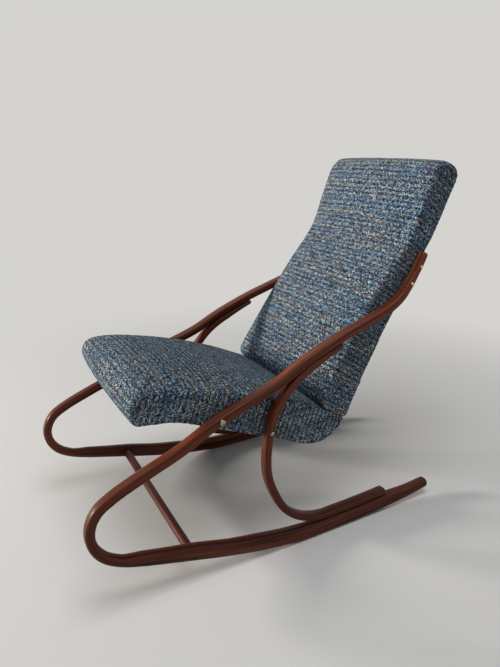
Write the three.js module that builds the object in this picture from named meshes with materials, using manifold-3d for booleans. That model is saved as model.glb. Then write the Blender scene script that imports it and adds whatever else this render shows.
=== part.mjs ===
// Bentwood rocking chair with an upholstered seat and back.
// Units are millimetres, +Z is up, the chair faces -Y and the sitter's left is +X.
// Two bent side frames carry a seat block that hangs on their arms and legs,
// and a back block that stands on the seat and is screwed between the arm tips.

import * as THREE from 'three';
import { mergeVertices } from 'three/addons/utils/BufferGeometryUtils.js';
import Module from 'manifold-3d';

const wasm = await Module();
wasm.setup();

// Side frames: where they stand, how they lean and how far they reach
const floorHalfWidth = 279;
const leanShare = 0.0587;
const railReach = 964;
const railHeight = 710;
const seatingGap = 0.3;
const glueGap = 0.55;

// Side rail: its section along the runner, the front bend and the arm
const railWidth = 28;
const armTipWidth = 22;
const runnerThickness = 41;
const runnerFrontThickness = 38;
const tailThickness = 26;
const bendThickness = 22;
const armThickness = 22;
const armTipThickness = 19;
const railCorner = 8;
const railEndRound = 7;

// Rear leg: glued under the arm and on top of the runner
const legWidth = 28;
const legThickness = 20;
const legTipThickness = 13;
const legCorner = 8;
const legEndRound = 8;

// Front stretcher: a turned bar with a tenon in each runner
const stretcherDiameter = 22;
const tenonDiameter = 14;
const tenonLength = 16;

// Upholstery blocks
const seatLength = 575;
const seatThickness = 128;
const seatSlope = 23.1;
const seatCrown = 9;
const backLength = 694;
const backThickness = 123;
const backCrown = 7;
const backNarrowing = 64;
const edgeRound = 16;
const tightEdgeShare = 0.25;
const coverThickness = 2;
const sidePadding = 4;
const framePadding = 12;
const frameClearance = 1.1;
const hemWidth = 24;
const clothThickness = 1.2;

// Wooden frames inside the seat and the back
const boardThickness = 24;
const seatRailHeight = 44;
const frontRailHeight = 52;
const crossRailDepth = 26;
const stileDepth = 24;
const backRailHeight = 46;
const frontRailDrop = 15;
const rearRailShare = 0.47;
const seatRailEndShare = 0.574;
const railCutShares = [0.25, 0.7];
const webbingWidth = 50;
const webbingThickness = 1.8;
const seatStrapCount = 5;
const backStrapCount = 5;

// Fasteners
const boltHeadDiameter = 17;
const boltHeadHeight = 6;
const boltDiameter = 8;
const nutDiameter = 20;
const nutLength = 12;
const nutFlangeThickness = 2;
const legScrewHeadDiameter = 12;
const legScrewHeadHeight = 4.5;
const legScrewDiameter = 6;
const legScrewLength = 58;
const backScrewHeadDiameter = 8.5;
const backScrewHeadHeight = 2.8;
const backScrewDiameter = 4.5;
const backScrewLength = 48;
const cutOverrun = 5;
const shankTipShare = 0.7;
// Outline of a domed head, as shares of its radius and height
const domeShares = [[1, 0.15], [0.9, 0.5], [0.65, 0.82], [0.33, 0.96], [0, 1]];

// Shares that keep rounded corners sound: of the corner's own radius, and of the thickness
const leastCornerShare = 0.25;
const mostCornerShare = 0.48;
// How far the rounded ends and side edges draw in, as shares of their radius
const endDrawShare = 0.7;
const edgeDrawShare = 0.6;

// How finely the curves are cut
const stationsPerPointCount = 2;
const stileStepCount = 24;
const roundSideCount = 12;

// Outer edge of the rail from the tail along the runner, round the front bend and up the arm.
// Each place is a share of railReach and railHeight, counted from where the runner meets the floor.
const railShares = [
  [0.4066, 0.031], [0.342, 0.0176], [0.249, 0.007], [0.145, 0.0014], [0.052, -0.0008],
  [-0.021, -0.0004], [-0.093, 0.0085], [-0.171, 0.0254], [-0.254, 0.0493], [-0.342, 0.0803],
  [-0.42, 0.1085], [-0.472, 0.1282], [-0.5187, 0.1507], [-0.557, 0.1831], [-0.58, 0.2254],
  [-0.5892, 0.2761], [-0.583, 0.3239], [-0.563, 0.3662], [-0.527, 0.3986], [-0.448, 0.4451],
  [-0.363, 0.4901], [-0.281, 0.5465], [-0.193, 0.5915], [-0.109, 0.6324], [-0.0238, 0.6915],
  [0.08, 0.7493], [0.167, 0.7887], [0.23, 0.8183], [0.276, 0.8563], [0.304, 0.9014],
  [0.3216, 0.931], [0.3375, 0.9648], [0.349, 0.9944],
];
const railThicknesses = [
  tailThickness, (tailThickness * 2 + runnerThickness) / 3, runnerThickness, runnerThickness, runnerThickness,
  runnerThickness, runnerThickness, runnerThickness, runnerFrontThickness, runnerFrontThickness,
  (runnerFrontThickness * 2 + bendThickness) / 3, (runnerFrontThickness + bendThickness) / 2,
  bendThickness, bendThickness, bendThickness,
  bendThickness, bendThickness, bendThickness, armThickness, armThickness,
  armThickness, armThickness, armThickness, armThickness, armThickness,
  armThickness, armThickness, armThickness, armThickness, armThickness,
  armTipThickness, armTipThickness, armTipThickness,
];
// Stretch of the arm, as shares of the whole rail, over which it narrows towards its tip
const armTipShares = [0.8125, 0.9375];

// Stretches of the rail, as shares of its run from tail to tip, where the leg is glued
const legOnArmShares = [0.7819, 0.7469];
const footOnRunnerShares = [0.1344, 0.0641];
const armGluePointCount = 5;
const footGluePointCount = 6;
// Points of the leg over which it thickens from its tip
const legTipPointCount = 4;
// Front edge of the leg between those stretches, as shares of railReach and railHeight
const legShares = [
  [-0.0581, 0.6254], [-0.0886, 0.5856], [-0.119, 0.5273], [-0.1341, 0.4662], [-0.1429, 0.4048],
  [-0.1463, 0.3423], [-0.1438, 0.2986], [-0.1362, 0.2631], [-0.1255, 0.2189], [-0.1104, 0.1755],
  [-0.0888, 0.1344], [-0.0587, 0.1], [-0.0226, 0.0749],
];

// Where the fasteners and the stretcher sit, as shares of the run of the rail or the leg
const armBoltShare = 0.66375;
const legScrewShare = 0.35;
const backScrewShares = [0.9609, 0.90625];
const stretcherShare = 0.28625;

// Seat block seen from its side: along the line from arm bolt to leg screw, and square to it
const seatShares = [
  [-0.3339, -0.359], [-0.353, -0.219], [-0.3583, -0.062], [-0.3443, 0.086], [-0.3096, 0.195],
  [-0.2435, 0.297], [-0.1426, 0.398], [0, 0.5], [0.1652, 0.57], [0.3304, 0.586],
  [0.4557, 0.566], [0.5165, 0.547], [0.5826, 0.512], [0.6296, 0.48], [0.6417, 0.445],
  [0.633, 0.359], [0.6157, 0.195], [0.5948, 0.047], [0.56, -0.094], [0.52, -0.176],
  [0.4696, -0.215], [0.313, -0.215], [0.1043, -0.215], [-0.1043, -0.219], [-0.1826, -0.258],
  [-0.2435, -0.336], [-0.2887, -0.398], [-0.3165, -0.414],
];
const seatFrontShare = -0.3583;
const seatUndersideShare = -0.215;

// Back block seen from its side: along its stiles, and square to them towards the sitter
const backShares = [
  [-0.0677, -0.232], [0, -0.224], [0.085, -0.171], [0.17, -0.142], [0.33, -0.12],
  [0.4539, -0.119], [0.6369, -0.106], [0.7478, -0.024], [0.8401, 0.053], [0.8847, 0.081],
  [0.9164, 0.142], [0.9308, 0.276], [0.9308, 0.455], [0.9179, 0.634], [0.8847, 0.736],
  [0.8501, 0.748], [0.7853, 0.683], [0.7147, 0.593], [0.6484, 0.504], [0.5965, 0.472],
  [0.5288, 0.488], [0.4467, 0.545], [0.3732, 0.577], [0.2392, 0.585], [0.1455, 0.585],
  [0.0432, 0.577], [-0.0288, 0.561], [-0.0591, 0.504], [-0.0677, 0.407], [-0.0677, 0.081],
];
// Where the back's own axis starts, seen from the seat
const backFootShares = [0.6097, 0.895];
// The stile's centre line follows the rear face and bends forwards towards the top.
const stileShares = [
  [-0.0605, 0.065], [0.0865, 0.012], [0.2882, 0.008], [0.5043, 0.008], [0.6196, 0.033],
  [0.7277, 0.11], [0.8285, 0.203],
];

// Colours and finishes
const wood = { color: 0x4a2015, roughness: 0.28, metalness: 0 };
const rawWood = { color: 0xb98a58, roughness: 0.8, metalness: 0 };
const tweed = { color: 0x3f5668, roughness: 0.95, metalness: 0 };
const padding = { color: 0xe6dcc0, roughness: 0.95, metalness: 0 };
const webbing = { color: 0x6b5a48, roughness: 0.9, metalness: 0 };
const lining = { color: 0x1c1c20, roughness: 0.95, metalness: 0 };
const nickel = { color: 0xc9c4b8, roughness: 0.25, metalness: 1 };
const brass = { color: 0xc7a24e, roughness: 0.3, metalness: 1 };
const steel = { color: 0x8f9296, roughness: 0.4, metalness: 1 };

const chair = new THREE.Group();

function addPiece(name, geometry, finish) {
  const mesh = new THREE.Mesh(geometry, new THREE.MeshStandardMaterial(finish));
  mesh.name = name;
  chair.add(mesh);
}

// Joins and cuts

function toSolid(geometry) {
  const bare = geometry.clone();
  bare.deleteAttribute('normal');
  bare.deleteAttribute('uv');
  const merged = mergeVertices(bare, seatingGap / 1000);
  return new wasm.Manifold(new wasm.Mesh({
    numProp: 3,
    vertProperties: new Float32Array(merged.attributes.position.array),
    triVerts: new Uint32Array(merged.index.array),
  }));
}

function toGeometry(solid) {
  const mesh = solid.getMesh();
  const geometry = new THREE.BufferGeometry();
  const places = new Float32Array(mesh.numVert * 3);
  for (let i = 0; i < mesh.numVert; i += 1) {
    for (let k = 0; k < 3; k += 1) {
      places[i * 3 + k] = mesh.vertProperties[i * mesh.numProp + k];
    }
  }
  geometry.setAttribute('position', new THREE.BufferAttribute(places, 3));
  geometry.setIndex(new THREE.BufferAttribute(new Uint32Array(mesh.triVerts), 1));
  geometry.computeVertexNormals();
  return geometry;
}

function cut(geometry, ...tools) {
  return toGeometry(tools.reduce((solid, tool) => solid.subtract(toSolid(tool)), toSolid(geometry)));
}

function join(first, ...others) {
  return toGeometry(others.reduce((solid, other) => solid.add(toSolid(other)), toSolid(first)));
}

function common(first, second) {
  return toGeometry(toSolid(first).intersect(toSolid(second)));
}

function mirrored(geometry) {
  const copy = geometry.clone();
  copy.scale(-1, 1, 1);
  const index = copy.index.array;
  for (let i = 0; i < index.length; i += 3) {
    [index[i], index[i + 1]] = [index[i + 1], index[i]];
  }
  copy.computeVertexNormals();
  return copy;
}

// Side planes

// Outward face of a side frame at a height
function outwardX(z) {
  return floorHalfWidth - leanShare * z;
}

// Side of the upholstery at a height: it lies against the frames, and keeps its width above the arms
const backHalfWidth = floorHalfWidth - backNarrowing;
function upholsteryX(z) {
  return Math.max(backHalfWidth, outwardX(z) - railWidth - seatingGap);
}

// Height at which the upholstery's sides turn upright
const widthChangeHeight = (backNarrowing - railWidth - seatingGap) / leanShare;

// Lofts of a rounded section along an edge line in the side plane

function closedGeometry(rings, capped) {
  const places = rings.flat(2);
  const count = rings[0].length;
  const faces = [];
  for (let i = 0; i + 1 < rings.length; i += 1) {
    for (let k = 0; k < count; k += 1) {
      const a = i * count + k;
      const b = i * count + ((k + 1) % count);
      faces.push(a, b, b + count, a, b + count, a + count);
    }
  }
  const last = (rings.length - 1) * count;
  for (const [i, j, k] of capped) {
    faces.push(k, j, i, last + i, last + j, last + k);
  }
  const geometry = new THREE.BufferGeometry();
  geometry.setAttribute('position', new THREE.Float32BufferAttribute(places, 3));
  geometry.setIndex(faces);
  return outwards(geometry);
}

// Triangles that fill a contour, wound the way that the contour runs
function fillContour(places) {
  const contour = places.map(([a, b]) => new THREE.Vector2(a, b));
  return THREE.ShapeUtils.triangulateShape(contour, []).map(([i, j, k]) => {
    const triangle = [places[i], places[j], places[k]];
    return outlineArea(triangle) * outlineArea(places) > 0 ? [i, j, k] : [k, j, i];
  });
}

// Turns a closed body's faces outwards when its volume comes out negative
function outwards(geometry) {
  const place = geometry.attributes.position;
  const index = geometry.index.array;
  const a = new THREE.Vector3();
  const b = new THREE.Vector3();
  const c = new THREE.Vector3();
  let volume = 0;
  for (let i = 0; i < index.length; i += 3) {
    a.fromBufferAttribute(place, index[i]);
    b.fromBufferAttribute(place, index[i + 1]);
    c.fromBufferAttribute(place, index[i + 2]);
    volume += a.dot(b.cross(c));
  }
  if (volume < 0) {
    for (let i = 0; i < index.length; i += 3) {
      [index[i], index[i + 1]] = [index[i + 1], index[i]];
    }
  }
  geometry.computeVertexNormals();
  return geometry;
}

function fan(count) {
  return Array.from({ length: count - 2 }, (_, i) => [0, i + 1, i + 2]);
}

// A section is thick from the edge line inwards, and wide from the outward face inwards.
function sectionRing(station, corner) {
  const { place, inwards, thick, wide, inset } = station;
  const low = inset;
  const high = thick - inset;
  const outer = inset;
  const inner = wide - inset;
  const most = (high - low) * mostCornerShare;
  const radius = Math.min(Math.max(corner - inset, corner * leastCornerShare), most);
  const centres = [
    [low + radius, outer + radius, Math.PI],
    [high - radius, outer + radius, Math.PI * 1.5],
    [high - radius, inner - radius, 0],
    [low + radius, inner - radius, Math.PI / 2],
  ];
  const ring = [];
  for (const [across, deep, start] of centres) {
    for (const turn of [0, Math.PI / 4, Math.PI / 2]) {
      const t = across + radius * Math.cos(start + turn);
      const w = deep + radius * Math.sin(start + turn);
      const y = place.y + inwards.y * t;
      const z = Math.max(place.z + inwards.z * t, 0);
      ring.push([outwardX(z) - w, y, z]);
    }
  }
  return ring;
}

function loftAlong(stations, corner) {
  const rings = stations.map((station) => sectionRing(station, corner));
  return closedGeometry(rings, fan(rings[0].length));
}

// A curve in the side plane through places given as [y, z]
function sideCurve(places) {
  return new THREE.CatmullRomCurve3(places.map(([y, z]) => new THREE.Vector3(0, y, z)), false, 'centripetal');
}

function mixAt(values, point) {
  const i = Math.min(Math.floor(point), values.length - 2);
  return THREE.MathUtils.lerp(values[i], values[i + 1], point - i);
}

// One station at a place on a curve, with the inward side to the left of its run
function stationOn(curve, share, thick, wide) {
  const place = curve.getPoint(share);
  const along = curve.getTangent(share);
  place.z = Math.max(place.z, 0);
  const inwards = new THREE.Vector3(0, along.z, -along.y);
  return { place, inwards, thick, wide, inset: 0 };
}

// Rounds both ends of a loft: the last stations draw in like a quarter circle
function roundEnds(stations, radius) {
  const first = stations[0];
  const last = stations[stations.length - 1];
  const closing = (from, towards) => [0.3, 1].map((share) => {
    const inset = radius * (1 - Math.sqrt(1 - share * share)) * endDrawShare;
    const place = from.place.clone().add(towards.clone().multiplyScalar(radius * share));
    return { ...from, place, inset };
  });
  const back = new THREE.Vector3().subVectors(first.place, stations[1].place).normalize();
  const ahead = new THREE.Vector3().subVectors(last.place, stations[stations.length - 2].place).normalize();
  return [...closing(first, back).reverse(), ...stations, ...closing(last, ahead)];
}

// Round pieces on an axis along X

function roundBar(radius, fromX, toX, y, z) {
  const geometry = new THREE.CylinderGeometry(radius, radius, toX - fromX, roundSideCount);
  geometry.rotateZ(-Math.PI / 2);
  geometry.translate((fromX + toX) / 2, y, z);
  return geometry;
}

// A turned profile given as [radius, distance along +X], placed on an axis along X
function turned(profile, x, y, z) {
  const points = profile.map(([radius, along]) => new THREE.Vector2(radius, along));
  const geometry = new THREE.LatheGeometry(points, roundSideCount);
  geometry.rotateZ(-Math.PI / 2);
  geometry.translate(x, y, z);
  return outwards(mergedShape(geometry));
}

function mergedShape(geometry) {
  const bare = geometry.clone();
  bare.deleteAttribute('normal');
  bare.deleteAttribute('uv');
  return mergeVertices(bare, seatingGap / 1000);
}

// A domed fastener: its dome starts at headX and its shank runs inwards
function domedFastener(headDiameter, headHeight, shankDiameter, shankLength, headX, y, z) {
  const head = headDiameter / 2;
  const shank = shankDiameter / 2;
  const profile = [
    [0, -shankLength],
    [shank * shankTipShare, -shankLength],
    [shank, -shankLength + shank],
    [shank, 0],
    [head, 0],
    ...domeShares.map(([across, up]) => [head * across, headHeight * up]),
  ];
  return turned(profile, headX, y, z);
}

// Panels: an outline in the side plane, between two faces whose X follows the height

function panel(outline, outerX, innerX) {
  const reach = floorHalfWidth + railWidth;
  const prism = [reach, -reach].map((x) => outline.map(([y, z]) => [x, y, z]));
  const heights = [-railHeight, widthChangeHeight, railHeight * 2];
  const outer = heights.map((z) => [outerX(z), z]);
  const section = [...outer, ...heights.reverse().map((z) => [innerX(z), z])];
  const slab = [railReach, -railReach].map((y) => section.map(([x, z]) => [x, y, z]));
  return common(closedGeometry(prism, fillContour(outline)), closedGeometry(slab, fillContour(section)));
}

// Side rail

const railPlaces = railShares.map(([y, z]) => [y * railReach, z * railHeight]);
const railCurve = sideCurve(railPlaces);
const railLast = railPlaces.length - 1;

function railStation(share) {
  const narrowing = THREE.MathUtils.smoothstep(share, ...armTipShares);
  const wide = THREE.MathUtils.lerp(railWidth, armTipWidth, narrowing);
  return stationOn(railCurve, share, mixAt(railThicknesses, share * railLast), wide);
}

// A place inside the rail's thickness: 0 on its outer edge and 1 on its inner edge
function railPlace(share, depthShare) {
  const station = railStation(share);
  return station.place.clone().add(station.inwards.clone().multiplyScalar(station.thick * depthShare));
}

// A place just off the rail's inner edge, where the leg is glued
function glueLine(share) {
  const station = railStation(share);
  const place = station.place.clone().add(station.inwards.clone().multiplyScalar(station.thick + glueGap));
  return [place.y, place.z];
}

function railStations() {
  const steps = railLast * stationsPerPointCount;
  return Array.from({ length: steps + 1 }, (_, i) => railStation(i / steps));
}

// Rear leg

function glueStretch([from, to], count) {
  return Array.from({ length: count }, (_, i) => glueLine(THREE.MathUtils.lerp(from, to, i / (count - 1))));
}

const legPlaces = [
  ...glueStretch(legOnArmShares, armGluePointCount),
  ...legShares.map(([y, z]) => [y * railReach, z * railHeight]),
  ...glueStretch(footOnRunnerShares, footGluePointCount),
];
const legCurve = sideCurve(legPlaces);
const legLast = legPlaces.length - 1;

function legStation(share) {
  const fromTip = THREE.MathUtils.smoothstep(share * legLast, 0, legTipPointCount);
  const thick = THREE.MathUtils.lerp(legTipThickness, legThickness, fromTip);
  const station = stationOn(legCurve, share, thick, legWidth);
  station.inwards.negate();
  return station;
}

function legBody() {
  const steps = legLast * stationsPerPointCount;
  const stations = Array.from({ length: steps + 1 }, (_, i) => legStation(i / steps));
  return loftAlong(roundEnds(stations, legEndRound), legCorner);
}

// Fastener places, all on axes along X

const armBolt = railPlace(armBoltShare, 0.5);
const backScrews = backScrewShares.map((share) => railPlace(share, 0.5));
const stretcher = railPlace(stretcherShare, 0.5);
const legScrewStation = legStation(legScrewShare);
const legScrew = legScrewStation.place.clone()
  .add(legScrewStation.inwards.clone().multiplyScalar(legThickness / 2));

// Seat and back axes: the seat hangs from the arm bolts and slopes down to the rear, and the back
// leans on the arm tips from the seat's rear end

const seatTurn = THREE.MathUtils.degToRad(seatSlope);
const seatAlong = new THREE.Vector3(0, Math.cos(seatTurn), -Math.sin(seatTurn));
const seatUp = new THREE.Vector3(0, -seatAlong.z, seatAlong.y);

function seatPlace(u, v) {
  const place = armBolt.clone();
  place.add(seatAlong.clone().multiplyScalar(u));
  place.add(seatUp.clone().multiplyScalar(v));
  return [place.y, place.z];
}

// The back's axis starts above the seat's rear end and passes the arm tip screws.
const [backFootY, backFootZ] = seatPlace(backFootShares[0] * seatLength, backFootShares[1] * seatThickness);
const tipScrew = backScrews[0];
const backAlong = new THREE.Vector3(0, tipScrew.y - backFootY, tipScrew.z - backFootZ).normalize();
const backFront = new THREE.Vector3(0, -backAlong.z, backAlong.y);

function backPlace(s, t) {
  const foot = new THREE.Vector3(0, backFootY, backFootZ);
  foot.add(backAlong.clone().multiplyScalar(s)).add(backFront.clone().multiplyScalar(t));
  return [foot.y, foot.z];
}

// Cushion blocks: a side outline carried across the chair, rounded at its edges and crowned

function smoothOutline(points) {
  const places = points.map(([a, b]) => new THREE.Vector3(a, b, 0));
  const curve = new THREE.CatmullRomCurve3(places, true, 'centripetal');
  return points.map((place, i) => {
    const along = curve.getTangent(i / points.length);
    return { place, out: [along.y, -along.x], point: i };
  });
}

// Bulges grow and fade over one point at the ends of the crowned stretch.
function crownWeight(point, first, last) {
  return THREE.MathUtils.smoothstep(point, first - 1, first + 1)
    * (1 - THREE.MathUtils.smoothstep(point, last - 1, last + 1));
}

function cushionBlock(block, inset) {
  const rows = [-1, -0.985, -0.95, -0.8, -0.45, 0, 0.45, 0.8, 0.95, 0.985, 1];
  const outline = smoothOutline(block.points);
  const turn = Math.sign(outlineArea(outline.map(({ place }) => place)));
  const rings = rows.map((row) => outline.map(({ place, out, point }) => {
    const reach = Math.abs(row) * block.halfWidth;
    const past = Math.max(0, reach - (block.halfWidth - edgeRound)) / edgeRound;
    const soft = crownWeight(point, block.crowned[0] - 1, block.crowned[1] + 1);
    const round = edgeRound * THREE.MathUtils.lerp(tightEdgeShare, 1, soft);
    const drawn = round * (1 - Math.sqrt(1 - past * past)) * edgeDrawShare;
    const swell = block.crown * (1 - row * row) * crownWeight(point, ...block.crowned);
    const move = (swell - drawn - inset) * turn;
    const [y, z] = block.toSide(place[0] + out[0] * move, place[1] + out[1] * move);
    return [row * (upholsteryX(z) - inset), y, z];
  }));
  return closedGeometry(rings, fillSplit(outline.map(({ place }) => place), block.split));
}

// Fills an outline in two parts that meet on the line between two of its points
function fillSplit(places, [from, to]) {
  const order = places.map((_, i) => i);
  const parts = [order.slice(from, to + 1), [...order.slice(to), ...order.slice(0, from + 1)]];
  return parts.flatMap((part) => {
    const faces = fillContour(part.map((i) => places[i]));
    return faces.map((face) => face.map((k) => part[k]));
  });
}

function outlineArea(places) {
  return places.reduce((sum, [a, b], i) => {
    const [c, d] = places[(i + 1) % places.length];
    return sum + a * d - b * c;
  }, 0);
}

// Each block names the points of its table between which it is crowned, and the two that its side
// faces are split at, which on the back lie at the height where its width changes.
const seatBlock = {
  points: seatShares.map(([u, v]) => [u * seatLength, v * seatThickness]),
  toSide: seatPlace,
  halfWidth: floorHalfWidth - railWidth,
  crown: seatCrown,
  crowned: [3, 10],
  split: [8, 22],
};
const backBlock = {
  points: backShares.map(([s, t]) => [s * backLength, t * backThickness]),
  toSide: backPlace,
  halfWidth: backHalfWidth,
  crown: backCrown,
  crowned: [14, 25],
  split: [5, 22],
};

const liningInset = coverThickness + seatingGap;
const frameX = (z) => upholsteryX(z) - liningInset - sidePadding;
const boardInnerX = (z) => frameX(z) - boardThickness;

// Seat frame places along and square to the seat

const seatUnder = seatThickness * seatUndersideShare + liningInset + frameClearance;
const seatRailTop = seatUnder + seatRailHeight;
const frontRailFront = seatLength * seatFrontShare + liningInset + framePadding * 2;
const frontRailBack = frontRailFront + crossRailDepth;
const frontRailUnder = seatUnder - frontRailDrop;
const rearRailBack = seatLength * rearRailShare;
const seatRailEnd = seatLength * seatRailEndShare;
const stileFoot = seatRailEnd - stileDepth / 2;

function seatRect(u0, u1, v0, v1) {
  return [seatPlace(u0, v0), seatPlace(u1, v0), seatPlace(u1, v1), seatPlace(u0, v1)];
}

const whole = (face) => [face, (z) => -face(z)];

// The stile stands on the seat rail's rear end and follows the rear face of the back.
const stilePlaces = stileShares.map(([s, t]) => backPlace(s * backLength, t * backThickness));
const stileCurve = sideCurve([seatPlace(stileFoot, seatRailTop + seatingGap), ...stilePlaces]);

// The outline of a band along the stiles, between two depths in front of and behind their centre
// line, running on past both ends
function stileBand(front, rear, below, above) {
  const fronts = [];
  const rears = [];
  for (let i = 0; i <= stileStepCount; i += 1) {
    const share = i / stileStepCount;
    const place = stileCurve.getPoint(share);
    const along = i === 0 ? seatUp : stileCurve.getTangent(share);
    const ends = (i === 0 ? -below : 0) + (i === stileStepCount ? above : 0);
    const y = place.y + along.y * ends;
    const z = place.z + along.z * ends;
    fronts.push([y - along.z * front, z + along.y * front]);
    rears.push([y + along.z * rear, z - along.y * rear]);
  }
  return [...fronts, ...rears.reverse()];
}

const stileOutline = (grow) => stileBand(stileDepth / 2 + grow, stileDepth / 2 + grow, grow, grow);

// Cross rails of the back, between the stiles
function backRailOutline(centreShare, grow) {
  const half = stileDepth / 2 + grow;
  const tall = backRailHeight / 2 + grow;
  const centre = stileCurve.getPointAt(centreShare);
  const along = stileCurve.getTangentAt(centreShare);
  const corner = (a, b) => [centre.y + along.y * a - along.z * b, centre.z + along.z * a + along.y * b];
  return [corner(-tall, -half), corner(tall, -half), corner(tall, half), corner(-tall, half)];
}
const backTopRailShare = 0.955;
const backLowRailShare = 0.25;

// Side frames

const stretcherReach = outwardX(stretcher.z) - railWidth;
function boreFor(diameter, fromX, toX, place) {
  return roundBar(diameter / 2 + seatingGap, fromX, toX, place.y, place.z);
}
const farOut = floorHalfWidth + cutOverrun;

const railLeft = cut(
  loftAlong(roundEnds(railStations(), railEndRound), railCorner),
  boreFor(tenonDiameter, stretcherReach - cutOverrun, stretcherReach + tenonLength + seatingGap, stretcher),
  boreFor(boltDiameter, backHalfWidth - railWidth, farOut, armBolt),
  ...backScrews.map((place) => boreFor(backScrewDiameter, backHalfWidth - railWidth, farOut, place)),
);
const legLeft = cut(legBody(), boreFor(legScrewDiameter, backHalfWidth - railWidth, farOut, legScrew));
addPiece('rail_left', railLeft, wood);
addPiece('rail_right', mirrored(railLeft), wood);
addPiece('leg_left', legLeft, wood);
addPiece('leg_right', mirrored(legLeft), wood);

const shoulder = stretcherReach - seatingGap - leanShare * stretcherDiameter / 2;
const tenonEnd = stretcherReach + tenonLength;
const stretcherProfile = [
  [0, -tenonEnd],
  [tenonDiameter / 2, -tenonEnd],
  [tenonDiameter / 2, -shoulder],
  [stretcherDiameter / 2, -shoulder],
  [stretcherDiameter / 2, shoulder],
  [tenonDiameter / 2, shoulder],
  [tenonDiameter / 2, tenonEnd],
  [0, tenonEnd],
];
addPiece('front_stretcher', turned(stretcherProfile, 0, stretcher.y, stretcher.z), wood);

// Fasteners, whose heads sit on the outward face

const headSeat = (place) => outwardX(place.z) + seatingGap + leanShare * boltHeadDiameter / 2;
const nutFace = boardInnerX(armBolt.z) - seatingGap - leanShare * nutDiameter / 2;
const boltLength = headSeat(armBolt) - nutFace;
const armBoltShape = domedFastener(
  boltHeadDiameter, boltHeadHeight, boltDiameter, boltLength, headSeat(armBolt), armBolt.y, armBolt.z,
);
const nutBore = boltDiameter / 2 + seatingGap;
const nutProfile = [
  [nutBore, 0], [nutBore, -nutFlangeThickness], [nutDiameter / 2, -nutFlangeThickness],
  [nutDiameter / 2, 0], [nutBore + nutFlangeThickness, 0], [nutBore + nutFlangeThickness, nutLength],
  [nutBore, nutLength], [nutBore, 0],
];
const nutShape = turned(nutProfile, nutFace, armBolt.y, armBolt.z);
const legScrewShape = domedFastener(
  legScrewHeadDiameter, legScrewHeadHeight, legScrewDiameter, legScrewLength,
  headSeat(legScrew), legScrew.y, legScrew.z,
);
const backScrewShapes = backScrews.map((place) => domedFastener(
  backScrewHeadDiameter, backScrewHeadHeight, backScrewDiameter, backScrewLength,
  headSeat(place), place.y, place.z,
));
for (const [side, place] of [['left', (g) => g], ['right', mirrored]]) {
  addPiece(`arm_bolt_${side}`, place(armBoltShape), nickel);
  addPiece(`arm_bolt_nut_${side}`, place(nutShape), steel);
  addPiece(`leg_screw_${side}`, place(legScrewShape), nickel);
  addPiece(`back_screw_upper_${side}`, place(backScrewShapes[0]), brass);
  addPiece(`back_screw_lower_${side}`, place(backScrewShapes[1]), brass);
}

// Seat frame

// The side rail's lower rear corner is cut away to follow the seat's rounded corner.
const seatRailOutline = [
  seatPlace(frontRailBack + seatingGap, seatUnder), seatPlace(rearRailBack, seatUnder),
  seatPlace(stileFoot - stileDepth / 2, seatUnder + seatRailHeight * railCutShares[0]),
  seatPlace(seatRailEnd, seatUnder + seatRailHeight * railCutShares[1]),
  seatPlace(seatRailEnd, seatRailTop), seatPlace(frontRailBack + seatingGap, seatRailTop),
];
const seatRailShape = panel(seatRailOutline, frameX, boardInnerX);
const nutPocket = (nutBore + nutFlangeThickness) * 2;
const seatRailLeft = cut(
  seatRailShape,
  boreFor(boltDiameter, 0, farOut, armBolt),
  boreFor(nutPocket, 0, nutFace + nutLength + seatingGap, armBolt),
  boreFor(legScrewDiameter, headSeat(legScrew) - legScrewLength - seatingGap, farOut, legScrew),
);
addPiece('seat_side_rail_left', seatRailLeft, rawWood);
addPiece('seat_side_rail_right', mirrored(seatRailLeft), rawWood);
const frontRailTop = frontRailUnder + frontRailHeight;
const frontRail = panel(
  seatRect(frontRailFront, frontRailBack, frontRailUnder, frontRailTop), ...whole(frameX),
);
addPiece('seat_front_rail', frontRail, rawWood);
const betweenRails = (z) => boardInnerX(z) - seatingGap;
const rearRail = panel(
  seatRect(rearRailBack - crossRailDepth, rearRailBack, seatUnder, seatRailTop), ...whole(betweenRails),
);
addPiece('seat_rear_rail', rearRail, rawWood);

// Seat straps lie on the side rails, under the padding.
const strapLow = seatRailTop + seatingGap;
const strapHigh = strapLow + webbingThickness;
const strapPitch = (seatRailEnd - stileDepth - webbingWidth - frontRailBack) / seatStrapCount;
for (let i = 0; i < seatStrapCount; i += 1) {
  const start = frontRailBack + webbingWidth / 2 + strapPitch * i;
  const strap = panel(seatRect(start, start + webbingWidth, strapLow, strapHigh), ...whole(frameX));
  addPiece(`seat_strap_${i + 1}`, strap, webbing);
}

// Back frame

const stileLeft = cut(
  panel(stileOutline(0), frameX, boardInnerX),
  ...backScrews.map((place) => boreFor(
    backScrewDiameter, headSeat(place) - backScrewLength - seatingGap, farOut, place,
  )),
);
addPiece('back_stile_left', stileLeft, rawWood);
addPiece('back_stile_right', mirrored(stileLeft), rawWood);
addPiece('back_top_rail', panel(backRailOutline(backTopRailShare, 0), ...whole(betweenRails)), rawWood);
addPiece('back_low_rail', panel(backRailOutline(backLowRailShare, 0), ...whole(betweenRails)), rawWood);

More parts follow.
